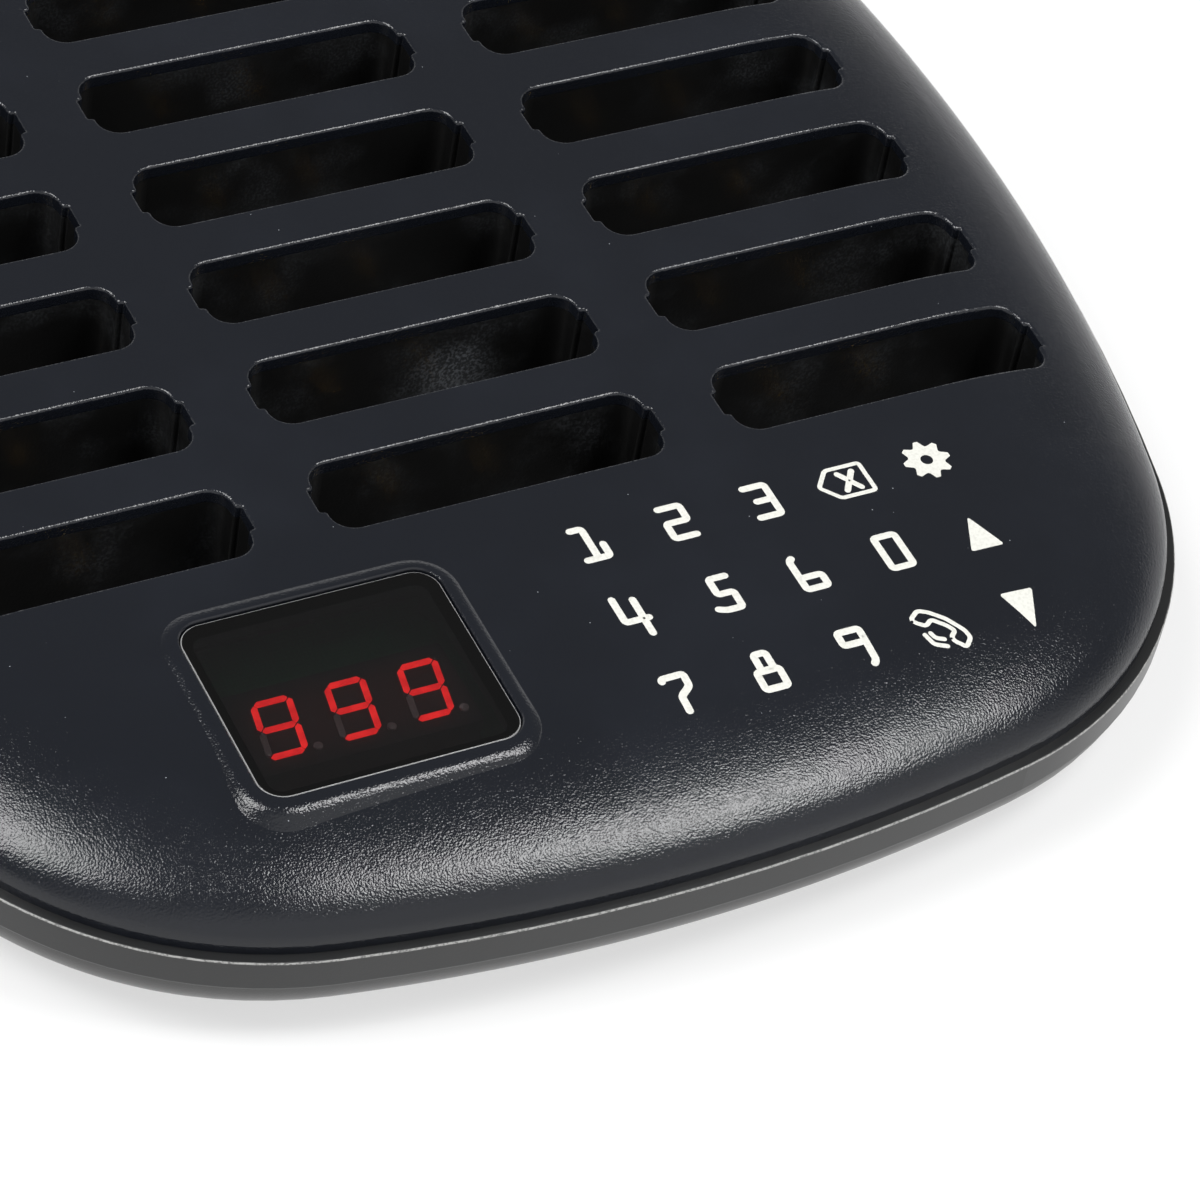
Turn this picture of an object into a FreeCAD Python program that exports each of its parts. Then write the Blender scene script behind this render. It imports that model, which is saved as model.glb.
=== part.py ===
import FreeCAD, Part
import math
import os

V = FreeCAD.Vector
os.makedirs("parts", exist_ok=True)

# Plan outline: four long arcs joined by four corner arcs, centred on the origin
HALF_WIDTH = 111.5
HALF_DEPTH = 130.4
SIDE_RADIUS = 325.0
END_RADIUS = 300.0
CORNER_RADIUS = 61.0

# Heights above the table
FOOT_HEIGHT = 2.0
BELLY_HEIGHT = 8.3
RIM_HEIGHT = 5.4
LEDGE_DROP = 1.5
DOME_HEIGHT = 8.8
BELLY_BOTTOM = FOOT_HEIGHT
RIM_BOTTOM = BELLY_BOTTOM + BELLY_HEIGHT
RIM_TOP = RIM_BOTTOM + RIM_HEIGHT
DOME_EDGE = RIM_TOP + LEDGE_DROP
DECK = DOME_EDGE + DOME_HEIGHT

# Casing walls
DOME_INSET = 1.6          # the dome's edge stands in from the rim by this
DOME_FLAT_INSET = 32.0    # the deck is flat inside this inset
BELLY_INSET = 0.5
WALL = 2.2
FLOOR = 2.0
RIM_WALL = 3.8
TONGUE = 1.6
TONGUE_GAP = 0.2
TONGUE_TOP_END = RIM_BOTTOM + 1.9
TONGUE_BOTTOM_END = RIM_BOTTOM + 1.7
TONGUE_ROOT = 3.0         # the top tongue grows out of the wall up to this far above its edge
RIM_TOP_ROUND = (0.28, 0.3)       # across, then up
RIM_BOTTOM_ROUND = (0.2, 0.35)
TONGUE_FLOOR_GAP = 0.5
PAST = 1.0                # room that is cut away runs past the material by this

# Pager slots
ROW_PITCH = 22.0
COLUMN_PITCH = 64.9
FIRST_ROW_Y = -55.0
OUTER_ROWS = 6
MIDDLE_ROWS = 8
SLOT_HALF_LENGTH = 26.35
SLOT_HALF_WIDTH = 6.6
SLOT_CORNER = 3.5
EAR_DEPTH = 1.0
EAR_HALF_WIDTH = 2.25
EAR_INNER_RADIUS = 0.7
SLOT_EDGE_ROUND = 0.55
SLOT_EDGE_REACH = 0.1     # an edge this near a slot's outline belongs to its mouth
SLOT_EDGE_DROP = 2.0      # the mouths fall by no more than this where the deck rolls off

# Slot trays under the deck
TRAY_WALL = 1.6
TRAY_FLANGE = 1.6
FLANGE_PROUD = 1.0
TRAY_GAP = 0.1
WELL_FLOOR = 10.0
WELL_FLOOR_THICKNESS = 1.6

# Charging contacts, two to a slot
PIN_SPACING = 16.0
PIN_RADIUS = 0.75
PIN_TRAVEL = 1.2
PIN_PROUD = 1.8
SHOULDER_RADIUS = 0.95
SHOULDER_HEIGHT = 1.05
SPRING_PRESSED = 2.4      # room for the spring under a fully pressed pin
BARREL_RADIUS = 1.3
BARREL_CLEARANCE = 0.05
BARREL_LIP = 0.5
BARREL_BASE = 0.4
BARREL_HOLE_RADIUS = 1.4
BARREL_PROUD = 0.3

# Boards
BOARD = 1.6
CONTACT_BOARD_Z = 5.4
CONTACT_BOARD_HALF_WIDTH = 28.0
CONTACT_BOARD_FRONT = 8.0
CONTACT_BOARD_REAR = 6.5
CONTACT_POST_REACH = 21.0
BOARD_POST_RADIUS = 2.6
MAIN_BOARD_Z = 6.0
MAIN_BOARD_X = (-62.0, 62.0)
MAIN_BOARD_Y = (-112.0, -70.0)
MAIN_POST_X = 57.0
MAIN_POST_Y = (-107.5, -74.5)

# Display window in the front left of the deck
WINDOW_CENTRE = (-36.6, -88.55)
WINDOW_SIZE = (39.5, 33.5)
WINDOW_CORNER = 4.0
LENS_GAP = 0.2
LENS_THICKNESS = 1.6
LENS_SEAT = 2.0
LENS_ROUND = 0.25
LIP_CREST = 1.9           # the lip's flat top would end here if its slope had no round
LIP_RISE = 0.45
LIP_ROOT = 3.0
LIP_SLOPE_RUN = 1.25      # the lip's side falls away by one for each of this outwards
LIP_ROUND = 2.6
LIP_INNER_CHAMFER = 0.2
LIP_SHIFT = (-0.2, -0.35)  # the lip is widest at the front left
PAD_MARGIN = 2.0          # thicker deck around the window, under the lens seat
PAD_DROP = 1.2

# Three figure display under the lens
DIGIT_CENTRE = (-37.3, -91.45)
DIGIT_PITCH = 10.95
DIGIT_HEIGHT = 10.4
DIGIT_WIDTH = 6.15
DIGIT_SLANT = math.tan(math.radians(9.0))
SEGMENT_WIDTH = 0.9
SEGMENT_GAP = 0.17
SEGMENT_THICKNESS = 0.25
POINT_RADIUS = 0.65
POINT_STEP = 1.4
MODULE_SIZE = (33.0, 15.2, 6.4)
MODULE_TOP = 23.0
MODULE_CORNER = 0.5
DISPLAY_BOARD_HALF = (24.5, 19.0)
DISPLAY_BOARD_CORNER = 1.0
DISPLAY_POST_REACH = (21.3, 16.0)
DISPLAY_SCREW_REACH = 3.0
DISPLAY_HOLE_REACH = 3.5

# Touch keys behind the deck
KEY_COLUMNS = (6.2, 20.4, 34.2, 47.7, 61.7)
KEY_ROWS = (-75.15, -89.95, -105.45)
KEY_PAD = (11.0, 10.0)
KEY_PAD_CORNER = 1.5
KEY_PAD_THICKNESS = 0.2
TOUCH_BOARD_TOP = 21.0
TOUCH_BOARD = 1.2
TOUCH_BOARD_MARGIN = 6.2
TOUCH_BOARD_CORNER = 9.0

# Rear port bay, with the supply inlet and the power switch
BAY_HALF_WIDTH = 21.2
BAY_BOTTOM = 4.6
PANEL_SIZE = (50.0, 1.8, 10.8)
PANEL_FACE_Y = 123.4
PORT_Z = 10.1
JACK_X = 10.5
JACK_BODY = (9.4, 11.4, 9.2)
JACK_NOSE_RADIUS = 3.9
JACK_NOSE_GAP = 0.2
JACK_BORE_RADIUS = 3.0
JACK_BORE_DEPTH = 9.5
JACK_PIN_RADIUS = 1.0
JACK_PIN_DROP = 0.8
JACK_PROUD = 0.6
SWITCH_X = -9.0
SWITCH_BEZEL = (15.0, 1.5, 10.2)
SWITCH_BODY = (13.0, 10.5, 8.8)
SWITCH_CAVITY = (12.0, 6.1, 7.2)
SWITCH_CUTOUT_GAP = 0.1
BEZEL_ROUND = 0.5
ROCKER_PIVOT_Y = 122.6
ROCKER_OUTLINE = [(-5.2, 3.4), (0.0, 2.7), (5.2, 3.4), (4.6, -0.5),
                  (2.0, -3.0), (-2.0, -3.0), (-4.6, -0.5)]
ROCKER_HEIGHT = 6.6
ROCKER_PIN_RADIUS = 0.8
ROCKER_PIN_REACH = 4.0
ROCKER_TILT = 10.0
ROCKER_ROUND = 0.4
ROCKER_FACE = 3.0         # corners this far out from the pivot are rounded
FIT = 0.05
NEAR = 0.01               # edges this close to a height or a face count as lying on it

# Case screws, driven from below
BOSS_PLACES = [(-84.0, -86.0), (84.0, -86.0), (-84.0, 86.0), (84.0, 86.0), (-99.6, 0.0),
               (99.6, 0.0), (-40.0, -117.5), (40.0, -117.5), (-38.0, 115.5), (38.0, 115.5)]
BOSS_RADIUS = 3.6
SCREW_RADIUS = 1.5
SCREW_HOLE_RADIUS = 1.6
SCREW_HEAD_RADIUS = 2.8
SCREW_HEAD_HEIGHT = 1.8
SCREW_HEAD_GAP = 0.2
DRIVE_ARM = (1.5, 0.35)
DRIVE_DEPTH = 0.9
SCREW_SINK = 2.4
SCREW_LENGTH = 13.0
SCREW_HOLE_END = 19.5
BOSS_SPLIT = 12.2

# Board screws
SMALL_SCREW_RADIUS = 1.1
SMALL_HEAD_RADIUS = 2.0
SMALL_HEAD_HEIGHT = 1.1
SMALL_SCREW_DEPTH = 2.0
BOARD_HOLE_RADIUS = 1.25

# Rubber feet
FOOT_PLACES = [(-78.0, -74.0), (78.0, -74.0), (-78.0, 74.0), (78.0, 74.0)]
FOOT_RADIUS = 7.0
FOOT_RECESS = 0.6
FOOT_GAP = 0.2
FOOT_CHAMFER = 0.4

# Components on the main board: place, then size
MCU_PLACE = (2.0, -92.0)
MCU_SIZE = (10.0, 10.0, 1.2)
RADIO_PLACE = (-34.0, -101.0)
RADIO_SIZE = (22.0, 15.0, 1.0)
RADIO_CHIP_PLACE = (-26.5, -101.0)
RADIO_CHIP_SIZE = (5.0, 5.0, 1.0)
SHIELD_PLACE = (-37.5, -101.0)
SHIELD_SIZE = (11.0, 12.0, 2.6)
SHIELD_SHEET = 0.3
BUZZER_PLACE = (24.0, -102.0)
BUZZER_RADIUS = 6.0
BUZZER_HEIGHT = 8.0
SOUND_HOLE_RADIUS = 1.2
SOUND_HOLE_DEPTH = 2.0
INDUCTOR_PLACE = (35.0, -88.0)
INDUCTOR_SIZE = (8.0, 8.0, 4.2)
CAN_PLACES = [(46.0, -84.0), (46.0, -92.5), (53.5, -88.0)]
CAN_RADIUS = 3.15
CAN_HEIGHT = 7.7
BLOCK_CORNER = 0.4

# Flat leads and their sockets
DISPLAY_RIBBON = (-26.0, -71.6)
TOUCH_RIBBON = (14.0, -71.6)
RIBBON_WIDTH = 12.0
RIBBON_THICKNESS = 0.4
RIBBON_SLIT = (12.2, 0.6)
SOCKET_SIZE = (15.0, 3.0, 3.0)
SOCKET_FLOOR = 0.6
RIBBON_LIFT = 0.8
LINK_X = (-50.0, 0.0, 50.0)
LINK_HALF_WIDTH = 4.0
LINK_THICKNESS = 0.4
LINK_LAP = 4.0
LINK_TAB = 2.5

# Power lead from the rear ports, along the channel between two trays
LEAD_X = 32.45
LEAD_Z = 9.0
LEAD_REAR_Y = 114.0
LEAD_RADIUS = 1.2
LEAD_BEND = 12.0
LEAD_LAP = 3.0
POWER_SOCKET_SIZE = (7.0, 6.0, 3.4)
POWER_SOCKET_BACK = 2.0

# Aerial wire, from the radio along the left side of the casing
ANTENNA_RADIUS = 0.8
ANTENNA_BEND = 14.0
ANTENNA_ROUTE = [(-44.5, -103.0), (-58.0, -103.0), (-96.0, -67.0), (-98.2, -12.0)]

QUARTER = math.pi / 2.0


def corner_centre():
    """centre of the front right corner arc, tangent to the side arc and the front arc"""
    side = V(HALF_WIDTH - SIDE_RADIUS, 0, 0)
    end = V(0, END_RADIUS - HALF_DEPTH, 0)
    reach_side = SIDE_RADIUS - CORNER_RADIUS
    reach_end = END_RADIUS - CORNER_RADIUS
    across = end.sub(side)
    length = across.Length
    along = across.multiply(1.0 / length)
    foot = (reach_side ** 2 - reach_end ** 2 + length ** 2) / (2 * length)
    height = math.sqrt(reach_side ** 2 - foot ** 2)
    return V(side.x + foot * along.x + height * along.y,
             side.y + foot * along.y - height * along.x, 0)


def sectors():
    """the outline as arcs: centre, radius, start angle and swept angle, in degrees"""
    corner = corner_centre()
    side = V(HALF_WIDTH - SIDE_RADIUS, 0, 0)
    end = V(0, END_RADIUS - HALF_DEPTH, 0)
    low = math.degrees(math.atan2(corner.y - end.y, corner.x - end.x))
    high = math.degrees(math.atan2(corner.y - side.y, corner.x - side.x))
    half_end = low + 90.0
    arcs = [(end, END_RADIUS, low - 2 * half_end, 2 * half_end),
            (corner, CORNER_RADIUS, low, high - low),
            (side, SIDE_RADIUS, high, -2 * high),
            (V(corner.x, -corner.y, 0), CORNER_RADIUS, -high, high - low)]
    turned = [(V(-c.x, -c.y, 0), r, start + 180.0, sweep) for c, r, start, sweep in arcs]
    return arcs + turned


SECTORS = sectors()


def ring_point(sector, inset, z):
    """a point at the start of a sector, moved in from the outline"""
    centre, radius, start, sweep = sector
    angle = math.radians(start)
    reach = radius - inset
    return V(centre.x + reach * math.cos(angle), centre.y + reach * math.sin(angle), z)


def plan_wire(inset, z):
    """the outline moved in by inset, at height z"""
    edges = []
    for centre, radius, start, sweep in SECTORS:
        circle = Part.Circle(V(centre.x, centre.y, z), V(0, 0, 1), radius - inset)
        first = math.radians(start)
        edges.append(circle.toShape(first, first + math.radians(sweep)))
    return Part.Wire(edges)


def plan_prism(inset, low, high):
    """a solid of the outline moved in by inset"""
    return Part.Face(plan_wire(inset, low)).extrude(V(0, 0, high - low))


def swept_faces(profile):
    """profile pieces, each two or three (inset, z) points, turned about every sector's centre"""
    faces = []
    for sector in SECTORS:
        for piece in profile:
            points = [ring_point(sector, inset, z) for inset, z in piece]
            if len(points) == 2:
                edge = Part.LineSegment(points[0], points[1]).toShape()
            else:
                oval = Part.Ellipse(points[0], points[1], points[2])
                edge = oval.toShape(0.0, QUARTER)
            faces.append(edge.revolve(sector[0], V(0, 0, 1), sector[3]))
    return faces


def closed_solid(faces):
    """faces that meet edge to edge, as one solid"""
    shell = Part.makeShell(faces)
    shell.sewShape()
    solid = Part.makeSolid(Part.Shell(shell.Faces))
    if solid.Volume < 0:
        solid.reverse()
    return solid


def domed_block(flat_inset, edge_inset, top, edge, bottom):
    """flat top, elliptical roll down to the edge, then a straight side to the bottom"""
    roll = [(edge_inset, edge), (flat_inset, top), (flat_inset, edge)]
    side = [(edge_inset, edge), (edge_inset, bottom)]
    faces = swept_faces([roll, side])
    faces.append(Part.Face(plan_wire(flat_inset, top)))
    faces.append(Part.Face(plan_wire(edge_inset, bottom)))
    return closed_solid(faces)


def bowl_block(edge_inset, radius, top, bottom):
    """straight at its top edge, rolling in to a flat bottom"""
    faces = []
    for sector in SECTORS:
        centre = ring_point(sector, edge_inset + radius, top)
        out = ring_point(sector, edge_inset, top)
        down = ring_point(sector, edge_inset + radius, bottom)
        middle_inset = edge_inset + radius * (1 - math.cos(QUARTER / 2))
        middle_z = centre.z - (top - bottom) * math.sin(QUARTER / 2)
        middle = ring_point(sector, middle_inset, middle_z)
        edge = Part.Arc(out, middle, down).toShape()
        faces.append(edge.revolve(sector[0], V(0, 0, 1), sector[3]))
    faces.append(Part.Face(plan_wire(edge_inset, top)))
    faces.append(Part.Face(plan_wire(edge_inset + radius, bottom)))
    return closed_solid(faces)


def rounded_wire(arcs, z):
    """arcs, each centre x, centre y, radius, first and last angle, joined by straight lines"""
    edges = []
    ends = []
    for x, y, radius, first, last in arcs:
        angles = [math.radians(a) for a in (first, (first + last) / 2.0, last)]
        points = [V(x + radius * math.cos(a), y + radius * math.sin(a), z) for a in angles]
        ends.append((points[0], points[2], Part.Arc(*points).toShape()))
    for index, (start, end, edge) in enumerate(ends):
        edges.append(edge)
        following = ends[(index + 1) % len(ends)][0]
        if end.distanceToPoint(following) > 1e-6:
            edges.append(Part.LineSegment(end, following).toShape())
    return Part.Wire(edges)


def rounded_outline(centre, half_x, half_y, radius, z):
    """a rectangle with rounded corners"""
    x, y = centre
    dx = half_x - radius
    dy = half_y - radius
    arcs = [(x + dx, y - dy, radius, -90, 0), (x + dx, y + dy, radius, 0, 90),
            (x - dx, y + dy, radius, 90, 180), (x - dx, y - dy, radius, 180, 270)]
    return rounded_wire(arcs, z)


def rounded_prism(centre, half_x, half_y, radius, low, high):
    """an upright block with rounded corners"""
    outline = rounded_outline(centre, half_x, half_y, radius, low)
    return Part.Face(outline).extrude(V(0, 0, high - low))


def slot_prism(x, y, low, high):
    """a pager slot: rounded rectangle with a shallow ear in the middle of each end"""
    dx = SLOT_HALF_LENGTH - SLOT_CORNER
    dy = SLOT_HALF_WIDTH - SLOT_CORNER
    tip = EAR_DEPTH - EAR_INNER_RADIUS
    ear_x = SLOT_HALF_LENGTH + EAR_INNER_RADIUS
    ear_y = EAR_HALF_WIDTH + EAR_INNER_RADIUS
    tip_y = EAR_HALF_WIDTH - tip
    end = [(dx, -dy, SLOT_CORNER, -90, 0), (ear_x, -ear_y, EAR_INNER_RADIUS, 180, 90),
           (ear_x, -tip_y, tip, -90, 0), (ear_x, tip_y, tip, 0, 90),
           (ear_x, ear_y, EAR_INNER_RADIUS, 270, 180), (dx, dy, SLOT_CORNER, 0, 90)]
    arcs = [(x + cx, y + cy, r, a, b) for cx, cy, r, a, b in end]
    arcs += [(x - cx, y - cy, r, a + 180, b + 180) for cx, cy, r, a, b in end]
    return Part.Face(rounded_wire(arcs, low)).extrude(V(0, 0, high - low))


def box(low, high):
    """a block between two corners"""
    return Part.makeBox(high[0] - low[0], high[1] - low[1], high[2] - low[2], V(*low))


def cylinder(x, y, radius, low, high):
    """an upright cylinder"""
    return Part.makeCylinder(radius, high - low, V(x, y, low))


def round_bar(start, direction, radius, length):
    """a cylinder along any direction"""
    return Part.makeCylinder(radius, length, V(*start), V(*direction))


def fuse(shapes):
    """one solid out of several that touch"""
    return shapes[0].multiFuse(shapes[1:]).removeSplitter()


def group(shapes):
    """separate solids kept in one node"""
    return Part.makeCompound(shapes)


def plan_ring(outer_inset, inner_inset, low, high):
    """an upright wall that follows the outline"""
    return plan_prism(outer_inset, low, high).cut(plan_prism(inner_inset, low, high))


def round_top_edges(solid, radius, top):
    """rounds every edge that lies wholly at the height top"""
    edges = [e for e in solid.Edges if abs(e.BoundBox.ZMin - top) < NEAR
             and e.BoundBox.ZLength < NEAR]
    return solid.makeFillet(radius, edges)


COLUMNS = {
    "left": (-COLUMN_PITCH, OUTER_ROWS),
    "middle": (0.0, MIDDLE_ROWS),
    "right": (COLUMN_PITCH, OUTER_ROWS),
}


def slot_places(column):
    """centre of every slot in one column, front to back"""
    x, rows = COLUMNS[column]
    return [(x, FIRST_ROW_Y + ROW_PITCH * row) for row in range(rows)]


def all_slot_places():
    return [place for column in COLUMNS for place in slot_places(column)]


def casing_space(drop):
    """the room under the top cover, its roof lowered by drop"""
    inset = DOME_INSET + WALL
    return domed_block(DOME_FLAT_INSET, inset, DECK - WALL - drop, DOME_EDGE - drop, BELLY_BOTTOM)


WINDOW_HALF = (WINDOW_SIZE[0] / 2.0, WINDOW_SIZE[1] / 2.0)
LENS_BOTTOM = DECK - LENS_THICKNESS
DISPLAY_BOARD_TOP = MODULE_TOP - MODULE_SIZE[2]
DISPLAY_POSTS = [(WINDOW_CENTRE[0] + sx * DISPLAY_POST_REACH[0],
                  WINDOW_CENTRE[1] + sy * DISPLAY_POST_REACH[1])
                 for sx in (-1, 1) for sy in (-1, 1)]
MAIN_POSTS = [(x, y) for x in (-MAIN_POST_X, MAIN_POST_X) for y in MAIN_POST_Y]


def board_posts(column):
    """places of the four screws that hold a contact board"""
    x, rows = COLUMNS[column]
    first = FIRST_ROW_Y + ROW_PITCH / 2.0
    last = FIRST_ROW_Y + ROW_PITCH * (rows - 1.5)
    return [(x + dx, y) for dx in (-CONTACT_POST_REACH, CONTACT_POST_REACH) for y in (first, last)]


CONTACT_POSTS = [place for column in COLUMNS for place in board_posts(column)]
PANEL_Y = (PANEL_FACE_Y - PANEL_SIZE[1], PANEL_FACE_Y)


def bay_room():
    """the notch for the ports in the rear of the rim and the bottom cover"""
    return box((-BAY_HALF_WIDTH, PANEL_Y[0], BAY_BOTTOM), (BAY_HALF_WIDTH, HALF_DEPTH + PAST, RIM_TOP))


def panel_room():
    """room that the port panel needs behind the notch"""
    half = PANEL_SIZE[0] / 2.0 + FIT
    return box((-half, PANEL_Y[0] - FIT, BAY_BOTTOM), (half, PANEL_Y[1] + FIT, RIM_TOP))


def window_outline(margin, z):
    """the display window's outline, larger than it by margin all round"""
    return rounded_outline(WINDOW_CENTRE, WINDOW_HALF[0] + margin, WINDOW_HALF[1] + margin,
                           WINDOW_CORNER + margin, z)


def window_block(margin, low, high):
    """a block over the display window, larger than it by margin all round"""
    return Part.Face(window_outline(margin, low)).extrude(V(0, 0, high - low))


def sloped_window_block(low_margin, low, high_margin, high):
    """a block over the display window whose four sides slope"""
    ends = [window_outline(low_margin, low), window_outline(high_margin, high)]
    return Part.makeLoft(ends, True, True)


def window_lip():
    """the raised surround of the display: a flat crest that rolls into sloping sides"""
    foot = LIP_CREST + LIP_SLOPE_RUN * (LIP_RISE + LIP_ROOT)
    lip = sloped_window_block(foot, DECK - LIP_ROOT, LIP_CREST, DECK + LIP_RISE)
    lip = round_top_edges(lip, LIP_ROUND, DECK + LIP_RISE)
    lip.translate(V(*LIP_SHIFT, 0))
    return lip


def top_cover():
    outer = domed_block(DOME_FLAT_INSET, DOME_INSET, DECK, DOME_EDGE, RIM_TOP)
    slots = [slot_prism(x, y, RIM_BOTTOM, DECK + PAST) for x, y in all_slot_places()]
    cover = outer.cut(slots[0].multiFuse(slots[1:]))
    mouths = [e for e in cover.Edges if e.BoundBox.ZMin > DECK - SLOT_EDGE_DROP
              and e.BoundBox.ZLength < SLOT_EDGE_DROP and near_slot(e)]
    cover = cover.makeFillet(SLOT_EDGE_ROUND, mouths)
    cover = cover.fuse(window_lip()).cut(casing_space(0.0))
    tongue = plan_ring(RIM_WALL + TONGUE_GAP, RIM_WALL + TONGUE_GAP + TONGUE,
                       TONGUE_TOP_END, DOME_EDGE + TONGUE_ROOT)
    bosses = [cylinder(x, y, BOSS_RADIUS, BOSS_SPLIT, DECK - WALL / 2.0) for x, y in BOSS_PLACES]
    posts = [cylinder(x, y, BOARD_POST_RADIUS, DISPLAY_BOARD_TOP, DECK - WALL / 2.0)
             for x, y in DISPLAY_POSTS]
    pad = window_block(PAD_MARGIN, DECK - WALL - PAD_DROP, DECK - WALL / 2.0)
    inside = [tongue] + bosses + posts + [pad]
    inside = [shape.common(outer) for shape in inside]
    cover = cover.multiFuse(inside)
    window = window_block(0.0, LENS_BOTTOM, DECK + PAST)
    bevel = sloped_window_block(0.0, DECK + LIP_RISE - LIP_INNER_CHAMFER,
                                LIP_INNER_CHAMFER, DECK + LIP_RISE)
    opening = window_block(-LENS_SEAT, DECK - WALL - PAD_DROP - PAST, DECK)
    holes = [cylinder(x, y, SCREW_HOLE_RADIUS, BOSS_SPLIT - PAST, SCREW_HOLE_END)
             for x, y in BOSS_PLACES]
    holes += [cylinder(x, y, SMALL_SCREW_RADIUS + FIT, DISPLAY_BOARD_TOP - PAST,
                       DISPLAY_BOARD_TOP + DISPLAY_HOLE_REACH) for x, y in DISPLAY_POSTS]
    return cover.cut([window, bevel, opening, bay_room()] + holes).removeSplitter()


def near_slot(edge):
    """true for an edge along the mouth of a slot"""
    middle = edge.CenterOfMass
    for x, y in all_slot_places():
        along = abs(middle.x - x)
        across = abs(middle.y - y)
        long_reach = SLOT_HALF_LENGTH + EAR_DEPTH + SLOT_EDGE_REACH
        if along < long_reach and across < SLOT_HALF_WIDTH + SLOT_EDGE_REACH:
            return True
    return False


def rim_frame():
    top_in, top_down = RIM_TOP_ROUND
    low_in, low_up = RIM_BOTTOM_ROUND
    side_top = RIM_TOP - top_down
    side_bottom = RIM_BOTTOM + low_up
    profile = [[(0.0, side_bottom), (0.0, side_top)],
               [(top_in, RIM_TOP), (0.0, side_top), (top_in, side_top)],
               [(top_in, RIM_TOP), (RIM_WALL, RIM_TOP)],
               [(RIM_WALL, RIM_TOP), (RIM_WALL, RIM_BOTTOM)],
               [(RIM_WALL, RIM_BOTTOM), (low_in, RIM_BOTTOM)],
               [(low_in, RIM_BOTTOM), (0.0, side_bottom), (low_in, side_bottom)]]
    return closed_solid(swept_faces(profile)).cut(bay_room())


def bottom_cover():
    shell = bowl_block(BELLY_INSET, BELLY_HEIGHT, RIM_BOTTOM, BELLY_BOTTOM)
    floor = BELLY_BOTTOM + FLOOR
    hollow = bowl_block(BELLY_INSET + FLOOR, BELLY_HEIGHT - FLOOR, RIM_BOTTOM, floor)
    tongue = plan_ring(RIM_WALL + TONGUE_GAP, RIM_WALL + TONGUE_GAP + TONGUE,
                       floor + TONGUE_FLOOR_GAP, TONGUE_BOTTOM_END)
    root = floor - FLOOR / 2.0
    bosses = [cylinder(x, y, BOSS_RADIUS, root, BOSS_SPLIT) for x, y in BOSS_PLACES]
    posts = [cylinder(x, y, BOARD_POST_RADIUS, root, CONTACT_BOARD_Z) for x, y in CONTACT_POSTS]
    posts += [cylinder(x, y, BOARD_POST_RADIUS, root, MAIN_BOARD_Z) for x, y in MAIN_POSTS]
    cover = shell.cut(hollow).multiFuse([tongue] + bosses + posts)
    cuts = [bay_room(), panel_room()]
    for x, y in BOSS_PLACES:
        cuts.append(cylinder(x, y, SCREW_HOLE_RADIUS, 0.0, BOSS_SPLIT + PAST))
        cuts.append(cylinder(x, y, SCREW_HEAD_RADIUS + SCREW_HEAD_GAP, 0.0,
                             BELLY_BOTTOM + SCREW_SINK))
    for x, y in CONTACT_POSTS + MAIN_POSTS:
        cuts.append(cylinder(x, y, SMALL_SCREW_RADIUS + FIT, root, MAIN_BOARD_Z + PAST))
    for x, y in FOOT_PLACES:
        cuts.append(cylinder(x, y, FOOT_RADIUS + FOOT_GAP, 0.0, BELLY_BOTTOM + FOOT_RECESS))
    return cover.cut(cuts).removeSplitter()


def slot_tray(column, space):
    """one column of wells that hang from a flange under the deck"""
    places = slot_places(column)
    top = DECK - WALL
    half_x = SLOT_HALF_LENGTH + EAR_DEPTH + TRAY_WALL
    half_y = SLOT_HALF_WIDTH + TRAY_WALL
    x = places[0][0]
    middle_y = (places[0][1] + places[-1][1]) / 2.0
    reach = (places[-1][1] - places[0][1]) / 2.0 + half_y
    flange = rounded_prism((x, middle_y), half_x + FLANGE_PROUD, reach + FLANGE_PROUD,
                           SLOT_CORNER + TRAY_WALL, top - TRAY_FLANGE, top)
    wells = [rounded_prism(p, half_x, half_y, SLOT_CORNER + TRAY_WALL,
                           WELL_FLOOR - WELL_FLOOR_THICKNESS, top) for p in places]
    cuts = []
    for px, py in places:
        cuts.append(slot_prism(px, py, WELL_FLOOR, top + PAST))
    for px, py in contact_places(column):
        cuts.append(cylinder(px, py, BARREL_HOLE_RADIUS, WELL_FLOOR - WELL_FLOOR_THICKNESS - PAST,
                             WELL_FLOOR + PAST))
    return fuse([flange] + wells).common(space).cut(cuts)


def contact_board(column):
    """the charging board under one column, with holes for its screws and its contacts"""
    places = slot_places(column)
    x = places[0][0]
    low = (x - CONTACT_BOARD_HALF_WIDTH, places[0][1] - CONTACT_BOARD_FRONT, CONTACT_BOARD_Z)
    high = (x + CONTACT_BOARD_HALF_WIDTH, places[-1][1] + CONTACT_BOARD_REAR, CONTACT_TOP)
    holes = [cylinder(px, py, BOARD_HOLE_RADIUS, 0.0, DECK) for px, py in board_posts(column)]
    holes += [cylinder(px, py, BARREL_RADIUS, 0.0, DECK) for px, py in contact_places(column)]
    return box(low, high).cut(holes)


def contact_places(column):
    """both contacts of every slot in a column"""
    return [(x + side * PIN_SPACING / 2.0, y) for x, y in slot_places(column) for side in (-1, 1)]


CONTACT_TOP = CONTACT_BOARD_Z + BOARD
BARREL_TOP = WELL_FLOOR + BARREL_PROUD
SHOULDER_TOP = BARREL_TOP - BARREL_LIP - FIT
PIN_TOP = WELL_FLOOR + PIN_PROUD
BORE_FLOOR = SHOULDER_TOP - SHOULDER_HEIGHT - PIN_TRAVEL - SPRING_PRESSED


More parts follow.
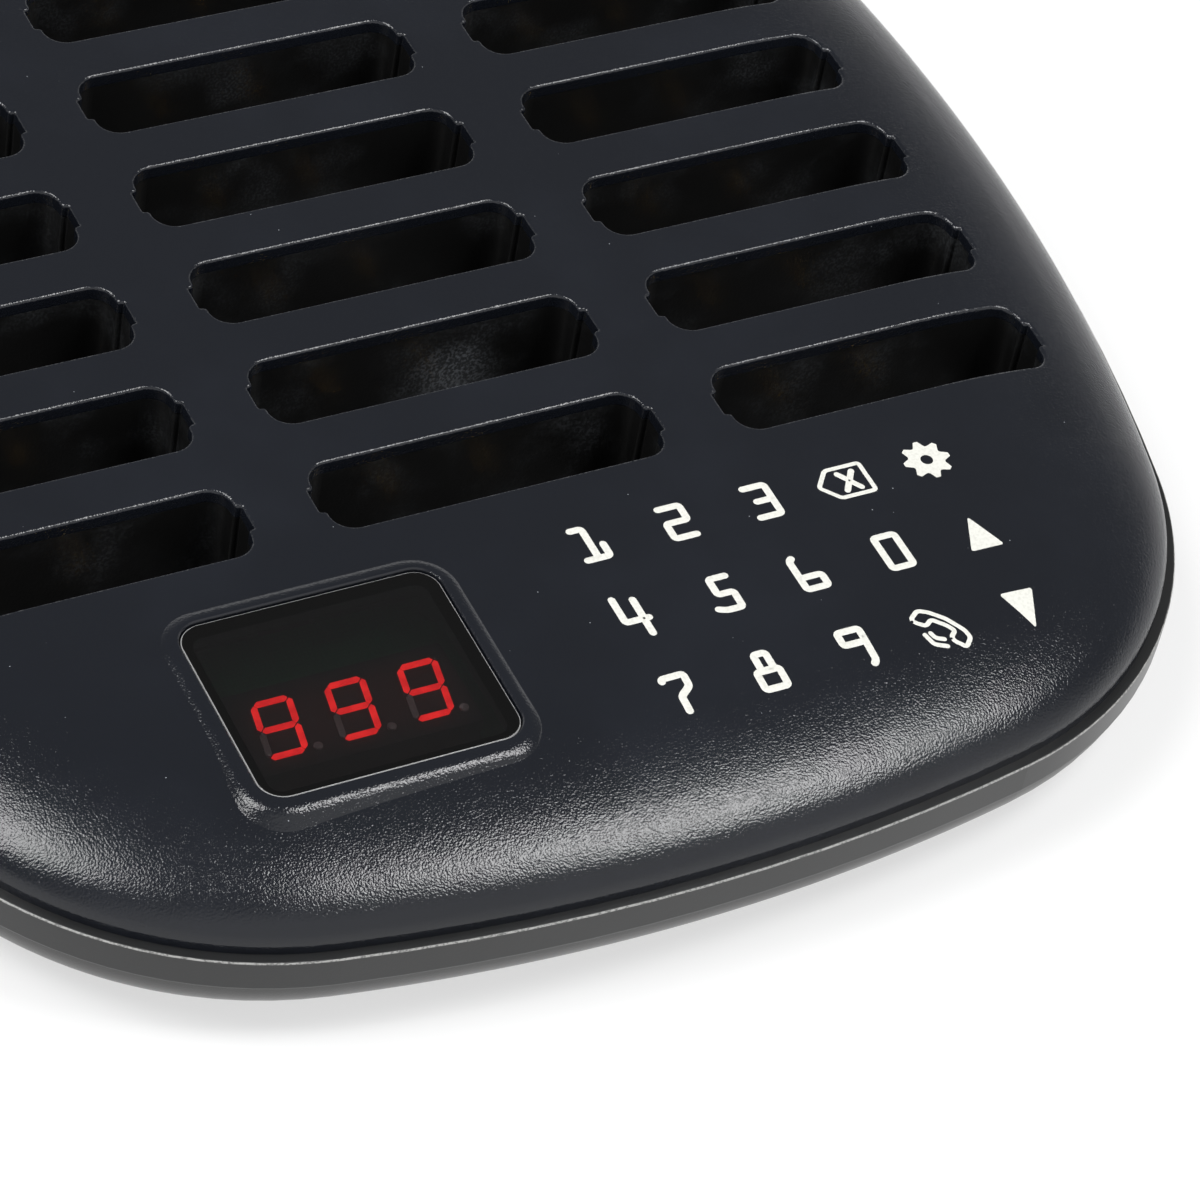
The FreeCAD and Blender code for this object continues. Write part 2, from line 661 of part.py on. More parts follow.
def contact_barrels(column):
    """tubes soldered through the board, which hold the springs and guide the contact pins"""
    barrels = []
    bore_top = BARREL_TOP - BARREL_LIP
    for x, y in contact_places(column):
        tube = cylinder(x, y, BARREL_RADIUS, BORE_FLOOR - BARREL_BASE, BARREL_TOP)
        bore = cylinder(x, y, SHOULDER_RADIUS + BARREL_CLEARANCE, BORE_FLOOR, bore_top)
        mouth = cylinder(x, y, PIN_RADIUS + BARREL_CLEARANCE, bore_top, BARREL_TOP + PAST)
        barrels.append(tube.cut(fuse([bore, mouth])))
    return group(barrels)


def contact_pins(x, y):
    """the two spring pins of one slot, round tipped, with a shoulder under the barrel's lip"""
    pins = []
    for side in (-1, 1):
        px = x + side * PIN_SPACING / 2.0
        shoulder = cylinder(px, y, SHOULDER_RADIUS, SHOULDER_TOP - SHOULDER_HEIGHT, SHOULDER_TOP)
        stem = cylinder(px, y, PIN_RADIUS, SHOULDER_TOP, PIN_TOP - PIN_RADIUS)
        tip = Part.makeSphere(PIN_RADIUS, V(px, y, PIN_TOP - PIN_RADIUS))
        pins.append(fuse([shoulder, stem, tip]))
    return group(pins)


def display_lens():
    return round_top_edges(window_block(-LENS_GAP, LENS_BOTTOM, DECK), LENS_ROUND, DECK)


def display_module():
    x, y, z = MODULE_SIZE
    return rounded_prism(DIGIT_CENTRE, x / 2.0, y / 2.0, MODULE_CORNER, MODULE_TOP - z, MODULE_TOP)


def segment(centre, length, upright, slant_about):
    """one bar of a figure, pointed at both ends, leaning with the figure"""
    half = SEGMENT_WIDTH / 2.0
    reach = length / 2.0 - SEGMENT_GAP
    flat = [(-reach, 0), (-reach + half, half), (reach - half, half),
            (reach, 0), (reach - half, -half), (-reach + half, -half)]
    points = []
    for along, across in flat:
        dx, dy = (-across, along) if upright else (along, across)
        y = centre[1] + dy
        x = centre[0] + dx + (y - slant_about) * DIGIT_SLANT
        points.append(V(x, y, MODULE_TOP))
    points.append(points[0])
    face = Part.Face(Part.makePolygon(points))
    return face.extrude(V(0, 0, SEGMENT_THICKNESS))


def display_segments():
    """the bars of three figures that read 999, and the dark bars and points beside them"""
    lit = []
    dark = []
    half_w = (DIGIT_WIDTH - SEGMENT_WIDTH) / 2.0
    half_h = (DIGIT_HEIGHT - SEGMENT_WIDTH) / 2.0
    for index in (-1, 0, 1):
        x = DIGIT_CENTRE[0] + index * DIGIT_PITCH
        y = DIGIT_CENTRE[1]
        for dy in (-half_h, 0.0, half_h):
            lit.append(segment((x, y + dy), 2 * half_w, False, y))
        for dx, dy in ((-half_w, half_h / 2), (half_w, half_h / 2), (half_w, -half_h / 2)):
            lit.append(segment((x + dx, y + dy), half_h, True, y))
        dark.append(segment((x - half_w, y - half_h / 2), half_h, True, y))
        point_x = x + DIGIT_WIDTH / 2.0 - half_h * DIGIT_SLANT + POINT_STEP
        dark.append(cylinder(point_x, y - half_h, POINT_RADIUS, MODULE_TOP,
                             MODULE_TOP + SEGMENT_THICKNESS))
    return group(lit), group(dark)


def display_board():
    half_x, half_y = DISPLAY_BOARD_HALF
    board = rounded_prism(WINDOW_CENTRE, half_x, half_y, DISPLAY_BOARD_CORNER,
                          DISPLAY_BOARD_TOP - BOARD, DISPLAY_BOARD_TOP)
    holes = [cylinder(x, y, BOARD_HOLE_RADIUS, 0.0, DECK) for x, y in DISPLAY_POSTS]
    return board.cut(holes)


def touch_block(low, high):
    """a sheet of the touch panel's size"""
    centre = ((KEY_COLUMNS[0] + KEY_COLUMNS[-1]) / 2.0, (KEY_ROWS[0] + KEY_ROWS[-1]) / 2.0)
    half_x = (KEY_COLUMNS[-1] - KEY_COLUMNS[0]) / 2.0 + TOUCH_BOARD_MARGIN
    half_y = (KEY_ROWS[0] - KEY_ROWS[-1]) / 2.0 + TOUCH_BOARD_MARGIN
    return rounded_prism(centre, half_x, half_y, TOUCH_BOARD_CORNER, low, high)


def touch_pads():
    """one sensing pad under each printed key"""
    top = TOUCH_BOARD_TOP + KEY_PAD_THICKNESS
    return group([rounded_prism((x, y), KEY_PAD[0] / 2.0, KEY_PAD[1] / 2.0, KEY_PAD_CORNER,
                                TOUCH_BOARD_TOP, top) for x in KEY_COLUMNS for y in KEY_ROWS])


def touch_spacer(space):
    """clear spacer, sticky on both faces, between the touch pads and the deck"""
    return touch_block(TOUCH_BOARD_TOP + KEY_PAD_THICKNESS, DECK).common(space)


MAIN_TOP = MAIN_BOARD_Z + BOARD
LEAD_END_Y = MAIN_BOARD_Y[1] - LEAD_LAP


def main_board():
    board = box((MAIN_BOARD_X[0], MAIN_BOARD_Y[0], MAIN_BOARD_Z),
                (MAIN_BOARD_X[1], MAIN_BOARD_Y[1], MAIN_TOP))
    holes = [cylinder(x, y, BOARD_HOLE_RADIUS, 0.0, DECK) for x, y in MAIN_POSTS]
    return board.cut(holes)


def block_on(place, size, base):
    """a component's block, centred on a place and standing on a board"""
    return rounded_prism(place, size[0] / 2.0, size[1] / 2.0, BLOCK_CORNER, base, base + size[2])


RADIO_TOP = MAIN_TOP + RADIO_SIZE[2]


def radio_module():
    """a small carrier board with its chip"""
    return fuse([block_on(RADIO_PLACE, RADIO_SIZE, MAIN_TOP),
                 block_on(RADIO_CHIP_PLACE, RADIO_CHIP_SIZE, RADIO_TOP)])


def radio_shield():
    """a folded tin can over the radio's tuned half, open below"""
    room = [size - 2 * SHIELD_SHEET for size in SHIELD_SIZE[:2]] + [SHIELD_SIZE[2] - SHIELD_SHEET]
    return block_on(SHIELD_PLACE, SHIELD_SIZE, RADIO_TOP).cut(block_on(SHIELD_PLACE, room, RADIO_TOP))


def buzzer():
    top = MAIN_TOP + BUZZER_HEIGHT
    case = cylinder(*BUZZER_PLACE, BUZZER_RADIUS, MAIN_TOP, top)
    return case.cut(cylinder(*BUZZER_PLACE, SOUND_HOLE_RADIUS, top - SOUND_HOLE_DEPTH, top + PAST))


def power_capacitors():
    return group([cylinder(x, y, CAN_RADIUS, MAIN_TOP, MAIN_TOP + CAN_HEIGHT) for x, y in CAN_PLACES])


def board_connectors():
    """white sockets that take the two ribbons and the power lead"""
    sockets = []
    for x, y in (DISPLAY_RIBBON, TOUCH_RIBBON):
        half_x, half_y = RIBBON_SLIT[0] / 2.0, RIBBON_SLIT[1] / 2.0
        slit = box((x - half_x, y - half_y, MAIN_TOP + SOCKET_FLOOR),
                   (x + half_x, y + half_y, MAIN_TOP + SOCKET_SIZE[2] + PAST))
        sockets.append(block_on((x, y), SOCKET_SIZE, MAIN_TOP).cut(slit))
    place = (LEAD_X, LEAD_END_Y - POWER_SOCKET_BACK)
    hole = round_bar((*place, LEAD_Z), (0, 1, 0), LEAD_RADIUS + FIT, POWER_SOCKET_SIZE[1])
    sockets.append(block_on(place, POWER_SOCKET_SIZE, MAIN_TOP).cut(hole))
    return group(sockets)


def board_ribbons():
    """flat leads from the display board and the touch board down to the main board"""
    ribbons = []
    half_x, half_y = RIBBON_WIDTH / 2.0, RIBBON_THICKNESS / 2.0
    tops = (DISPLAY_BOARD_TOP - BOARD, TOUCH_BOARD_TOP - TOUCH_BOARD)
    for (x, y), top in zip((DISPLAY_RIBBON, TOUCH_RIBBON), tops):
        ribbons.append(box((x - half_x, y - half_y, MAIN_TOP + RIBBON_LIFT),
                           (x + half_x, y + half_y, top)))
    return group(ribbons)


def charge_links():
    """short flat jumpers from each contact board to the main board"""
    links = []
    front = MAIN_BOARD_Y[1] - LINK_LAP
    rear = FIRST_ROW_Y - CONTACT_BOARD_FRONT + LINK_TAB
    for x in LINK_X:
        left, right = x - LINK_HALF_WIDTH, x + LINK_HALF_WIDTH
        strip = box((left, front, MAIN_TOP), (right, rear, MAIN_TOP + LINK_THICKNESS))
        tab = box((left, rear - LINK_TAB, CONTACT_TOP), (right, rear, MAIN_TOP))
        links.append(fuse([strip, tab]))
    return group(links)


def bent_tube(route, bend, radius):
    """a round wire along straight runs joined by tangent arcs"""
    points = [V(*p) for p in route]
    edges = []
    start = points[0]
    for before, corner, after in zip(points, points[1:], points[2:]):
        back = before.sub(corner).normalize()
        ahead = after.sub(corner).normalize()
        turn = math.pi - back.getAngle(ahead)
        trim = bend * math.tan(turn / 2.0)
        first = corner.add(V(back).multiply(trim))
        last = corner.add(V(ahead).multiply(trim))
        middle_way = back.add(ahead).normalize()
        reach = bend / math.cos(turn / 2.0) - bend
        middle = corner.add(middle_way.multiply(reach))
        edges.append(Part.LineSegment(start, first).toShape())
        edges.append(Part.Arc(first, middle, last).toShape())
        start = last
    edges.append(Part.LineSegment(start, points[-1]).toShape())
    path = Part.Wire(edges)
    section = Part.Wire([Part.Circle(points[0], points[1].sub(points[0]), radius).toShape()])
    return path.makePipeShell([section], True, False)


def power_leads():
    """the lead along the channel between two trays, and the jumper from switch to inlet"""
    side = JACK_X + JACK_BODY[0] / 2.0
    route = [(side, LEAD_REAR_Y, LEAD_Z), (LEAD_X, LEAD_REAR_Y, LEAD_Z), (LEAD_X, LEAD_END_Y, LEAD_Z)]
    long_lead = bent_tube(route, LEAD_BEND, LEAD_RADIUS)
    gap_start = SWITCH_X + SWITCH_BODY[0] / 2.0
    gap = JACK_X - JACK_BODY[0] / 2.0 - gap_start
    jumper = round_bar((gap_start, LEAD_REAR_Y, LEAD_Z), (1, 0, 0), LEAD_RADIUS, gap)
    return group([long_lead, jumper])


def antenna_wire():
    """a stiff insulated wire, soldered flat to the radio's carrier"""
    route = [(x, y, RADIO_TOP + ANTENNA_RADIUS) for x, y in ANTENNA_ROUTE]
    return bent_tube(route, ANTENNA_BEND, ANTENNA_RADIUS)


def centred_box(x, size_x, size_z, y_low, y_high):
    """a block centred on a port"""
    return box((x - size_x / 2.0, y_low, PORT_Z - size_z / 2.0),
               (x + size_x / 2.0, y_high, PORT_Z + size_z / 2.0))


def port_panel():
    """the plate that carries the supply inlet and the power switch"""
    half = PANEL_SIZE[0] / 2.0
    low = BAY_BOTTOM + FIT
    plate = box((-half, PANEL_Y[0], low), (half, PANEL_Y[1], low + PANEL_SIZE[2]))
    nose = round_bar((JACK_X, PANEL_Y[0] - PAST, PORT_Z), (0, 1, 0),
                     JACK_NOSE_RADIUS + JACK_NOSE_GAP, PANEL_SIZE[1] + 2 * PAST)
    cutout = centred_box(SWITCH_X, SWITCH_BODY[0] + 2 * SWITCH_CUTOUT_GAP,
                         SWITCH_BODY[2] + 2 * SWITCH_CUTOUT_GAP, PANEL_Y[0] - PAST, PANEL_Y[1] + PAST)
    return plate.cut([nose, cutout])


JACK_FACE_Y = PANEL_FACE_Y + JACK_PROUD


def dc_inlet():
    x, y, z = JACK_BODY
    body = centred_box(JACK_X, x, z, PANEL_Y[0] - y, PANEL_Y[0])
    nose = round_bar((JACK_X, PANEL_Y[0], PORT_Z), (0, 1, 0), JACK_NOSE_RADIUS,
                     JACK_FACE_Y - PANEL_Y[0])
    bore = round_bar((JACK_X, JACK_FACE_Y, PORT_Z), (0, -1, 0), JACK_BORE_RADIUS, JACK_BORE_DEPTH)
    return fuse([body, nose]).cut(bore)


def inlet_pin():
    length = JACK_BORE_DEPTH - JACK_PIN_DROP
    start = (JACK_X, JACK_FACE_Y - JACK_BORE_DEPTH, PORT_Z)
    shank = round_bar(start, (0, 1, 0), JACK_PIN_RADIUS, length - JACK_PIN_RADIUS)
    tip = Part.makeSphere(JACK_PIN_RADIUS, V(JACK_X, start[1] + length - JACK_PIN_RADIUS, PORT_Z))
    return fuse([shank, tip])


def rocker_pins(radius, reach):
    """the pivot's two stub pins, as one bar"""
    return cylinder(SWITCH_X, ROCKER_PIVOT_Y, radius, PORT_Z - reach, PORT_Z + reach)


def switch_housing():
    bezel_face = PANEL_FACE_Y + SWITCH_BEZEL[1]
    bezel = centred_box(SWITCH_X, SWITCH_BEZEL[0], SWITCH_BEZEL[2], PANEL_FACE_Y, bezel_face)
    front = [e for e in bezel.Edges if e.BoundBox.YMin > bezel_face - NEAR]
    bezel = bezel.makeFillet(BEZEL_ROUND, front)
    body = centred_box(SWITCH_X, SWITCH_BODY[0], SWITCH_BODY[2],
                       PANEL_FACE_Y - SWITCH_BODY[1], PANEL_FACE_Y)
    room = centred_box(SWITCH_X, SWITCH_CAVITY[0], SWITCH_CAVITY[2],
                       bezel_face - SWITCH_CAVITY[1], bezel_face + PAST)
    sockets = rocker_pins(ROCKER_PIN_RADIUS + FIT, ROCKER_PIN_REACH + FIT)
    return fuse([bezel, body]).cut([room, sockets])


def switch_rocker():
    """a rocker with a shallow valley, resting with one end pressed in"""
    outline = ROCKER_OUTLINE + ROCKER_OUTLINE[:1]
    low = PORT_Z - ROCKER_HEIGHT / 2.0
    points = [V(SWITCH_X + x, ROCKER_PIVOT_Y + y, low) for x, y in outline]
    block = Part.Face(Part.makePolygon(points)).extrude(V(0, 0, ROCKER_HEIGHT))
    corners = [e for e in block.Edges if e.BoundBox.ZLength > ROCKER_HEIGHT - NEAR
               and e.BoundBox.YMin > ROCKER_PIVOT_Y + ROCKER_FACE]
    block = block.makeFillet(ROCKER_ROUND, corners)
    rocker = fuse([block, rocker_pins(ROCKER_PIN_RADIUS, ROCKER_PIN_REACH)])
    rocker.rotate(V(SWITCH_X, ROCKER_PIVOT_Y, 0), V(0, 0, 1), -ROCKER_TILT)
    return rocker


def rubber_feet():
    feet = []
    for x, y in FOOT_PLACES:
        foot = cylinder(x, y, FOOT_RADIUS, 0.0, BELLY_BOTTOM + FOOT_RECESS)
        bottom = [e for e in foot.Edges if e.BoundBox.ZMax < NEAR]
        feet.append(foot.makeChamfer(FOOT_CHAMFER, bottom))
    return group(feet)


def case_screws():
    screws = []
    head_top = BELLY_BOTTOM + SCREW_SINK
    for x, y in BOSS_PLACES:
        head = cylinder(x, y, SCREW_HEAD_RADIUS, head_top - SCREW_HEAD_HEIGHT, head_top)
        shank = cylinder(x, y, SCREW_RADIUS, head_top, head_top + SCREW_LENGTH)
        arms = [box((x - a, y - b, head_top - SCREW_HEAD_HEIGHT),
                    (x + a, y + b, head_top - SCREW_HEAD_HEIGHT + DRIVE_DEPTH))
                for a, b in (DRIVE_ARM, DRIVE_ARM[::-1])]
        screws.append(fuse([head, shank]).cut(arms))
    return group(screws)


def board_screws():
    """small pan head screws for the contact boards, the main board and the display board"""
    screws = []
    upward = [(x, y, CONTACT_TOP) for x, y in CONTACT_POSTS]
    upward += [(x, y, MAIN_TOP) for x, y in MAIN_POSTS]
    for x, y, seat in upward:
        head = cylinder(x, y, SMALL_HEAD_RADIUS, seat, seat + SMALL_HEAD_HEIGHT)
        shank = cylinder(x, y, SMALL_SCREW_RADIUS, seat - BOARD - SMALL_SCREW_DEPTH, seat)
        screws.append(fuse([head, shank]))
    seat = DISPLAY_BOARD_TOP - BOARD
    for x, y in DISPLAY_POSTS:
        head = cylinder(x, y, SMALL_HEAD_RADIUS, seat - SMALL_HEAD_HEIGHT, seat)
        shank = cylinder(x, y, SMALL_SCREW_RADIUS, seat, DISPLAY_BOARD_TOP + DISPLAY_SCREW_REACH)
        screws.append(fuse([head, shank]))
    return group(screws)


def build():
    space = casing_space(TRAY_GAP)
    parts = {
        "top_cover": top_cover(),
        "rim_frame": rim_frame(),
        "bottom_cover": bottom_cover(),
        "display_lens": display_lens(),
        "display_module": display_module(),
        "display_board": display_board(),
        "touch_board": touch_block(TOUCH_BOARD_TOP - TOUCH_BOARD, TOUCH_BOARD_TOP),
        "touch_pads": touch_pads(),
        "touch_spacer": touch_spacer(space),
        "main_board": main_board(),
        "mcu_chip": block_on(MCU_PLACE, MCU_SIZE, MAIN_TOP),
        "radio_module": radio_module(),
        "radio_shield": radio_shield(),
        "antenna_wire": antenna_wire(),
        "buzzer": buzzer(),
        "power_capacitors": power_capacitors(),
        "power_inductor": block_on(INDUCTOR_PLACE, INDUCTOR_SIZE, MAIN_TOP),
        "board_connectors": board_connectors(),
        "board_ribbons": board_ribbons(),
        "charge_links": charge_links(),
        "power_leads": power_leads(),
        "port_panel": port_panel(),
        "dc_inlet": dc_inlet(),
        "inlet_pin": inlet_pin(),
        "switch_housing": switch_housing(),
        "switch_rocker": switch_rocker(),
        "rubber_feet": rubber_feet(),
        "case_screws": case_screws(),
        "board_screws": board_screws(),
    }
    parts["lit_segments"], parts["dark_segments"] = display_segments()
    for column in COLUMNS:
        parts[column + "_slot_tray"] = slot_tray(column, space)
        parts[column + "_contact_board"] = contact_board(column)
        parts[column + "_contact_barrels"] = contact_barrels(column)
        for row, (x, y) in enumerate(slot_places(column), start=1):
            parts["contact_pins_%s_%d" % (column, row)] = contact_pins(x, y)
    return parts


for name, shape in build().items():
    solids = len(shape.Solids)
    print(name, "solids", solids, "valid", shape.isValid(), "volume", round(shape.Volume, 1))
    shape.exportStep("parts/" + name + ".step")
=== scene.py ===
import math
import bmesh
import bpy
from mathutils import Euler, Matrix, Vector
from mathutils.bvhtree import BVHTree


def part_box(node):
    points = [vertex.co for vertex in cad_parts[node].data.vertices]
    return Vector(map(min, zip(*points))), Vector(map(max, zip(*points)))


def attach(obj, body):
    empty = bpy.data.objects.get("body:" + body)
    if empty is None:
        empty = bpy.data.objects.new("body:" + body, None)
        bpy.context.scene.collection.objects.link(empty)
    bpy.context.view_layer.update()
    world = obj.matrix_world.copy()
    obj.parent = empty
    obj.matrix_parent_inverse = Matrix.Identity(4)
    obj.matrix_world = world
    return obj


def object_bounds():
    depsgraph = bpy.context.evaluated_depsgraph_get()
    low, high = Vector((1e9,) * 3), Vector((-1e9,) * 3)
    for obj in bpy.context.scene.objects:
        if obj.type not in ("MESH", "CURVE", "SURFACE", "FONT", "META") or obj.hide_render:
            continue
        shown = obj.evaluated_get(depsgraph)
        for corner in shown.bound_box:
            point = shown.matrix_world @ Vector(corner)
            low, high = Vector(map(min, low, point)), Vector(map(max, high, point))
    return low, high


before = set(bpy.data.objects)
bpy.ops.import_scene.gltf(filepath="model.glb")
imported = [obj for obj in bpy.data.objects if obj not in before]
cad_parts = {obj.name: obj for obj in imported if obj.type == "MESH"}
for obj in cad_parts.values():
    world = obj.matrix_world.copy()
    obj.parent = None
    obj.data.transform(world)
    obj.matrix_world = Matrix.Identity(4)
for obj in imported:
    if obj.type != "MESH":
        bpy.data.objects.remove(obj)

cad_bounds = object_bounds()
MM = 0.001

# Studio: a white table top under two soft boxes, one high on the right and one high on
# the left, in a room that is dim at the rear and pale at the front. The camera stands
# front left and looks down at the keys.
CAMERA_PLACE = Vector((-263.6, -479.7, 508.2)) * MM
CAMERA_TURN = [math.radians(angle) for angle in (44.06, -7.94, -25.96)]
CAMERA_LENS = 145.08
CAMERA_SENSOR = 36.0
CAMERA_REACH = 20.0
TABLE_HALF = 4.0
TABLE_WHITE = 0.86
TABLE_SEEN = 0.6              # how much of the table top that the camera sees is plain white
ROOM_LIGHT = 0.2
HORIZON_HEIGHTS = (0.02, 0.42)
FRONT_WALL = 0.85
FRONT_WALL_REACH = -0.7
SOFT_BOXES = {
    "right_box": {"bearing": 122, "height": 63, "size": (0.50, 0.60), "power": 12.2},
    "left_box": {"bearing": -77, "height": 57, "size": (0.60, 0.90), "power": 17.0},
}
BOX_DISTANCE = 1.5

camera_data = bpy.data.cameras.new("camera")
camera_data.lens = CAMERA_LENS
camera_data.sensor_width = CAMERA_SENSOR
camera_data.clip_end = CAMERA_REACH
camera = bpy.data.objects.new("camera", camera_data)
camera.location = CAMERA_PLACE
camera.rotation_euler = Euler(CAMERA_TURN, "XYZ")
bpy.context.scene.collection.objects.link(camera)
bpy.context.scene.camera = camera
bpy.context.scene.view_settings.view_transform = "Standard"

for name, box in SOFT_BOXES.items():
    bearing = math.radians(box["bearing"])
    height = math.radians(box["height"])
    way = Vector((math.cos(height) * math.sin(bearing), math.cos(height) * math.cos(bearing),
                  math.sin(height)))
    lamp = bpy.data.lights.new(name, "AREA")
    lamp.shape = "RECTANGLE"
    lamp.size, lamp.size_y = box["size"]
    lamp.energy = box["power"]
    holder = bpy.data.objects.new(name, lamp)
    holder.location = way * BOX_DISTANCE
    holder.rotation_euler = way.to_track_quat("Z", "Y").to_euler()
    bpy.context.scene.collection.objects.link(holder)


class Wire:
    """an output socket of a finish; arithmetic on it adds Math nodes"""

    def __init__(self, finish, socket):
        self.finish = finish
        self.socket = socket

    def maths(self, operation, first, second):
        return self.finish.node("ShaderNodeMath", {"operation": operation}, {0: first, 1: second})

    def __add__(self, other):
        return self.maths("ADD", self, other)

    def __radd__(self, other):
        return self.maths("ADD", other, self)

    def __sub__(self, other):
        return self.maths("SUBTRACT", self, other)

    def __rsub__(self, other):
        return self.maths("SUBTRACT", other, self)

    def __mul__(self, other):
        return self.maths("MULTIPLY", self, other)

    def __rmul__(self, other):
        return self.maths("MULTIPLY", other, self)

    def __pow__(self, other):
        return self.maths("POWER", self, other)


class Finish:
    """a surface finish: one shader whose sockets take numbers or wires"""

    def __init__(self, name, fixed=()):
        self.material = bpy.data.materials.new(name)
        self.material.use_nodes = True
        self.tree = self.material.node_tree
        self.shader = self.tree.nodes["Principled BSDF"]
        for socket, value in dict(fixed).items():
            self.shader.inputs[socket].default_value = value
        place = self.tree.nodes.new("ShaderNodeTexCoord")
        self.place = Wire(self, place.outputs["Object"])

    def node(self, kind, settings=(), inputs=(), output=0):
        """any node: settings first, then the values or wires of its sockets"""
        made = self.tree.nodes.new(kind)
        for setting, value in dict(settings).items():
            setattr(made, setting, value)
        for socket, value in dict(inputs).items():
            if isinstance(value, Wire):
                self.tree.links.new(value.socket, made.inputs[socket])
            else:
                made.inputs[socket].default_value = value
        return Wire(self, made.outputs[output])

    def noise(self, size, detail=2.0, roughness=0.5, stretch=(1.0, 1.0, 1.0)):
        """cloudy pattern from 0 to 1, whose lumps are about size metres across"""
        place = self.place
        if stretch != (1.0, 1.0, 1.0):
            place = self.node("ShaderNodeMapping", {}, {"Vector": place, "Scale": stretch})
        return self.node("ShaderNodeTexNoise", {}, {"Vector": place, "Scale": 1.0 / size,
                                                    "Detail": detail, "Roughness": roughness})

    def steps(self, value, low, high):
        """value spread so that low gives 0 and high gives 1, eased and clamped"""
        return self.node("ShaderNodeMapRange", {"interpolation_type": "SMOOTHSTEP"},
                         {"Value": value, "From Min": low, "From Max": high})

    def blend(self, factor, first, second):
        """first colour where factor is 0, second where it is 1"""
        return self.node("ShaderNodeMix", {"data_type": "RGBA"},
                         {"Factor": factor, 6: first, 7: second}, output=2)

    def upward(self):
        """how far a face looks up: 1 on a level top, 0 on an upright side"""
        facing = self.node("ShaderNodeNewGeometry", output="True Normal")
        return self.node("ShaderNodeSeparateXYZ", {}, {"Vector": facing}, output="Z")

    def set(self, socket, wire):
        self.tree.links.new(wire.socket, self.shader.inputs[socket])

    def relief(self, height, depth):
        """raises the surface by height times depth metres"""
        bump = self.node("ShaderNodeBump", {}, {"Height": height, "Distance": depth, "Strength": 1.0})
        self.set("Normal", bump)

    def overlay(self, factor, kind, inputs):
        """lays a plain shader of another kind over this finish, where factor is 1"""
        upper = self.node(kind, {}, inputs)
        layers = self.node("ShaderNodeMixShader", {},
                           {0: factor, 1: Wire(self, self.shader.outputs[0]), 2: upper})
        self.tree.links.new(layers.socket, self.tree.nodes["Material Output"].inputs["Surface"])

    def coat_nodes(self, *names):
        """puts this finish on pieces that the frame already holds"""
        for name in names:
            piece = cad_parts[name]
            piece.data.materials.clear()
            piece.data.materials.append(self.material)


def grey(value):
    return (value, value, value, 1.0)


table_mesh = bmesh.new()
bmesh.ops.create_grid(table_mesh, x_segments=1, y_segments=1, size=TABLE_HALF)
table_data = bpy.data.meshes.new("table_top")
table_mesh.to_mesh(table_data)
table_mesh.free()
table = bpy.data.objects.new("table_top", table_data)
bpy.context.scene.collection.objects.link(table)
table_finish = Finish("white_table", {"Base Color": grey(TABLE_WHITE), "Roughness": 0.9})
mirrored, through_glass, direct = [table_finish.node("ShaderNodeLightPath", output=ray) for ray in
                                   ("Is Glossy Ray", "Is Transmission Ray", "Is Camera Ray")]
indirect = table_finish.node("ShaderNodeMath", {"operation": "MAXIMUM"}, {0: mirrored, 1: through_glass})
table_finish.overlay(indirect + TABLE_SEEN * direct, "ShaderNodeEmission", {"Strength": 1.0})
table.data.materials.append(table_finish.material)

world = bpy.data.worlds.new("room")
bpy.context.scene.world = world
world.use_nodes = True
sky = world.node_tree
direction = sky.nodes.new("ShaderNodeTexCoord")
parts = sky.nodes.new("ShaderNodeSeparateXYZ")
sky.links.new(direction.outputs["Generated"], parts.inputs[0])


def eased(source, low, high, start, end):
    """brightness that runs from start to end while source runs from low to high"""
    level = sky.nodes.new("ShaderNodeMapRange")
    level.interpolation_type = "SMOOTHSTEP"
    for socket, value in (("From Min", low), ("From Max", high), ("To Min", start), ("To Max", end)):
        level.inputs[socket].default_value = value
    sky.links.new(source, level.inputs["Value"])
    return level.outputs[0]


def brighter(first, second):
    larger = sky.nodes.new("ShaderNodeMath")
    larger.operation = "MAXIMUM"
    sky.links.new(first, larger.inputs[0])
    sky.links.new(second, larger.inputs[1])
    return larger.outputs[0]


ceiling = eased(parts.outputs["Z"], *HORIZON_HEIGHTS, 1.0, ROOM_LIGHT)
front = eased(parts.outputs["Y"], 0.0, FRONT_WALL_REACH, 0.0, FRONT_WALL)
room_rays = sky.nodes.new("ShaderNodeLightPath")
shown = brighter(room_rays.outputs["Is Camera Ray"], brighter(ceiling, front))
sky.links.new(shown, sky.nodes["Background"].inputs["Strength"])
sky.nodes["Background"].inputs["Color"].default_value = (1.0, 1.0, 1.0, 1.0)

# Top cover: one black moulding with rolled edges. Its mould was etched with a fine
# grain, which breaks up every highlight. A tongue sets it inside the rim, and ten screws
# from below hold it.
GRAIN_SIZE = 0.32 * MM
GRAIN_DEPTH = 0.066 * MM
COVER_COLOUR = (0.0068, 0.0082, 0.0120, 1.0)
DUST_SPACING = 4.5 * MM
DUST_RADII = (0.010, 0.026)   # in spacings: solid within the first, gone beyond the second
DUST_COLOUR = (0.30, 0.32, 0.34, 1.0)
HAZE_SIZE = 34 * MM
HAZE_BAND = (0.42, 0.75)      # the pattern's values at which the haze starts and is full
HAZE_DULLING = 0.04
HAZE_PALENESS = 1.25


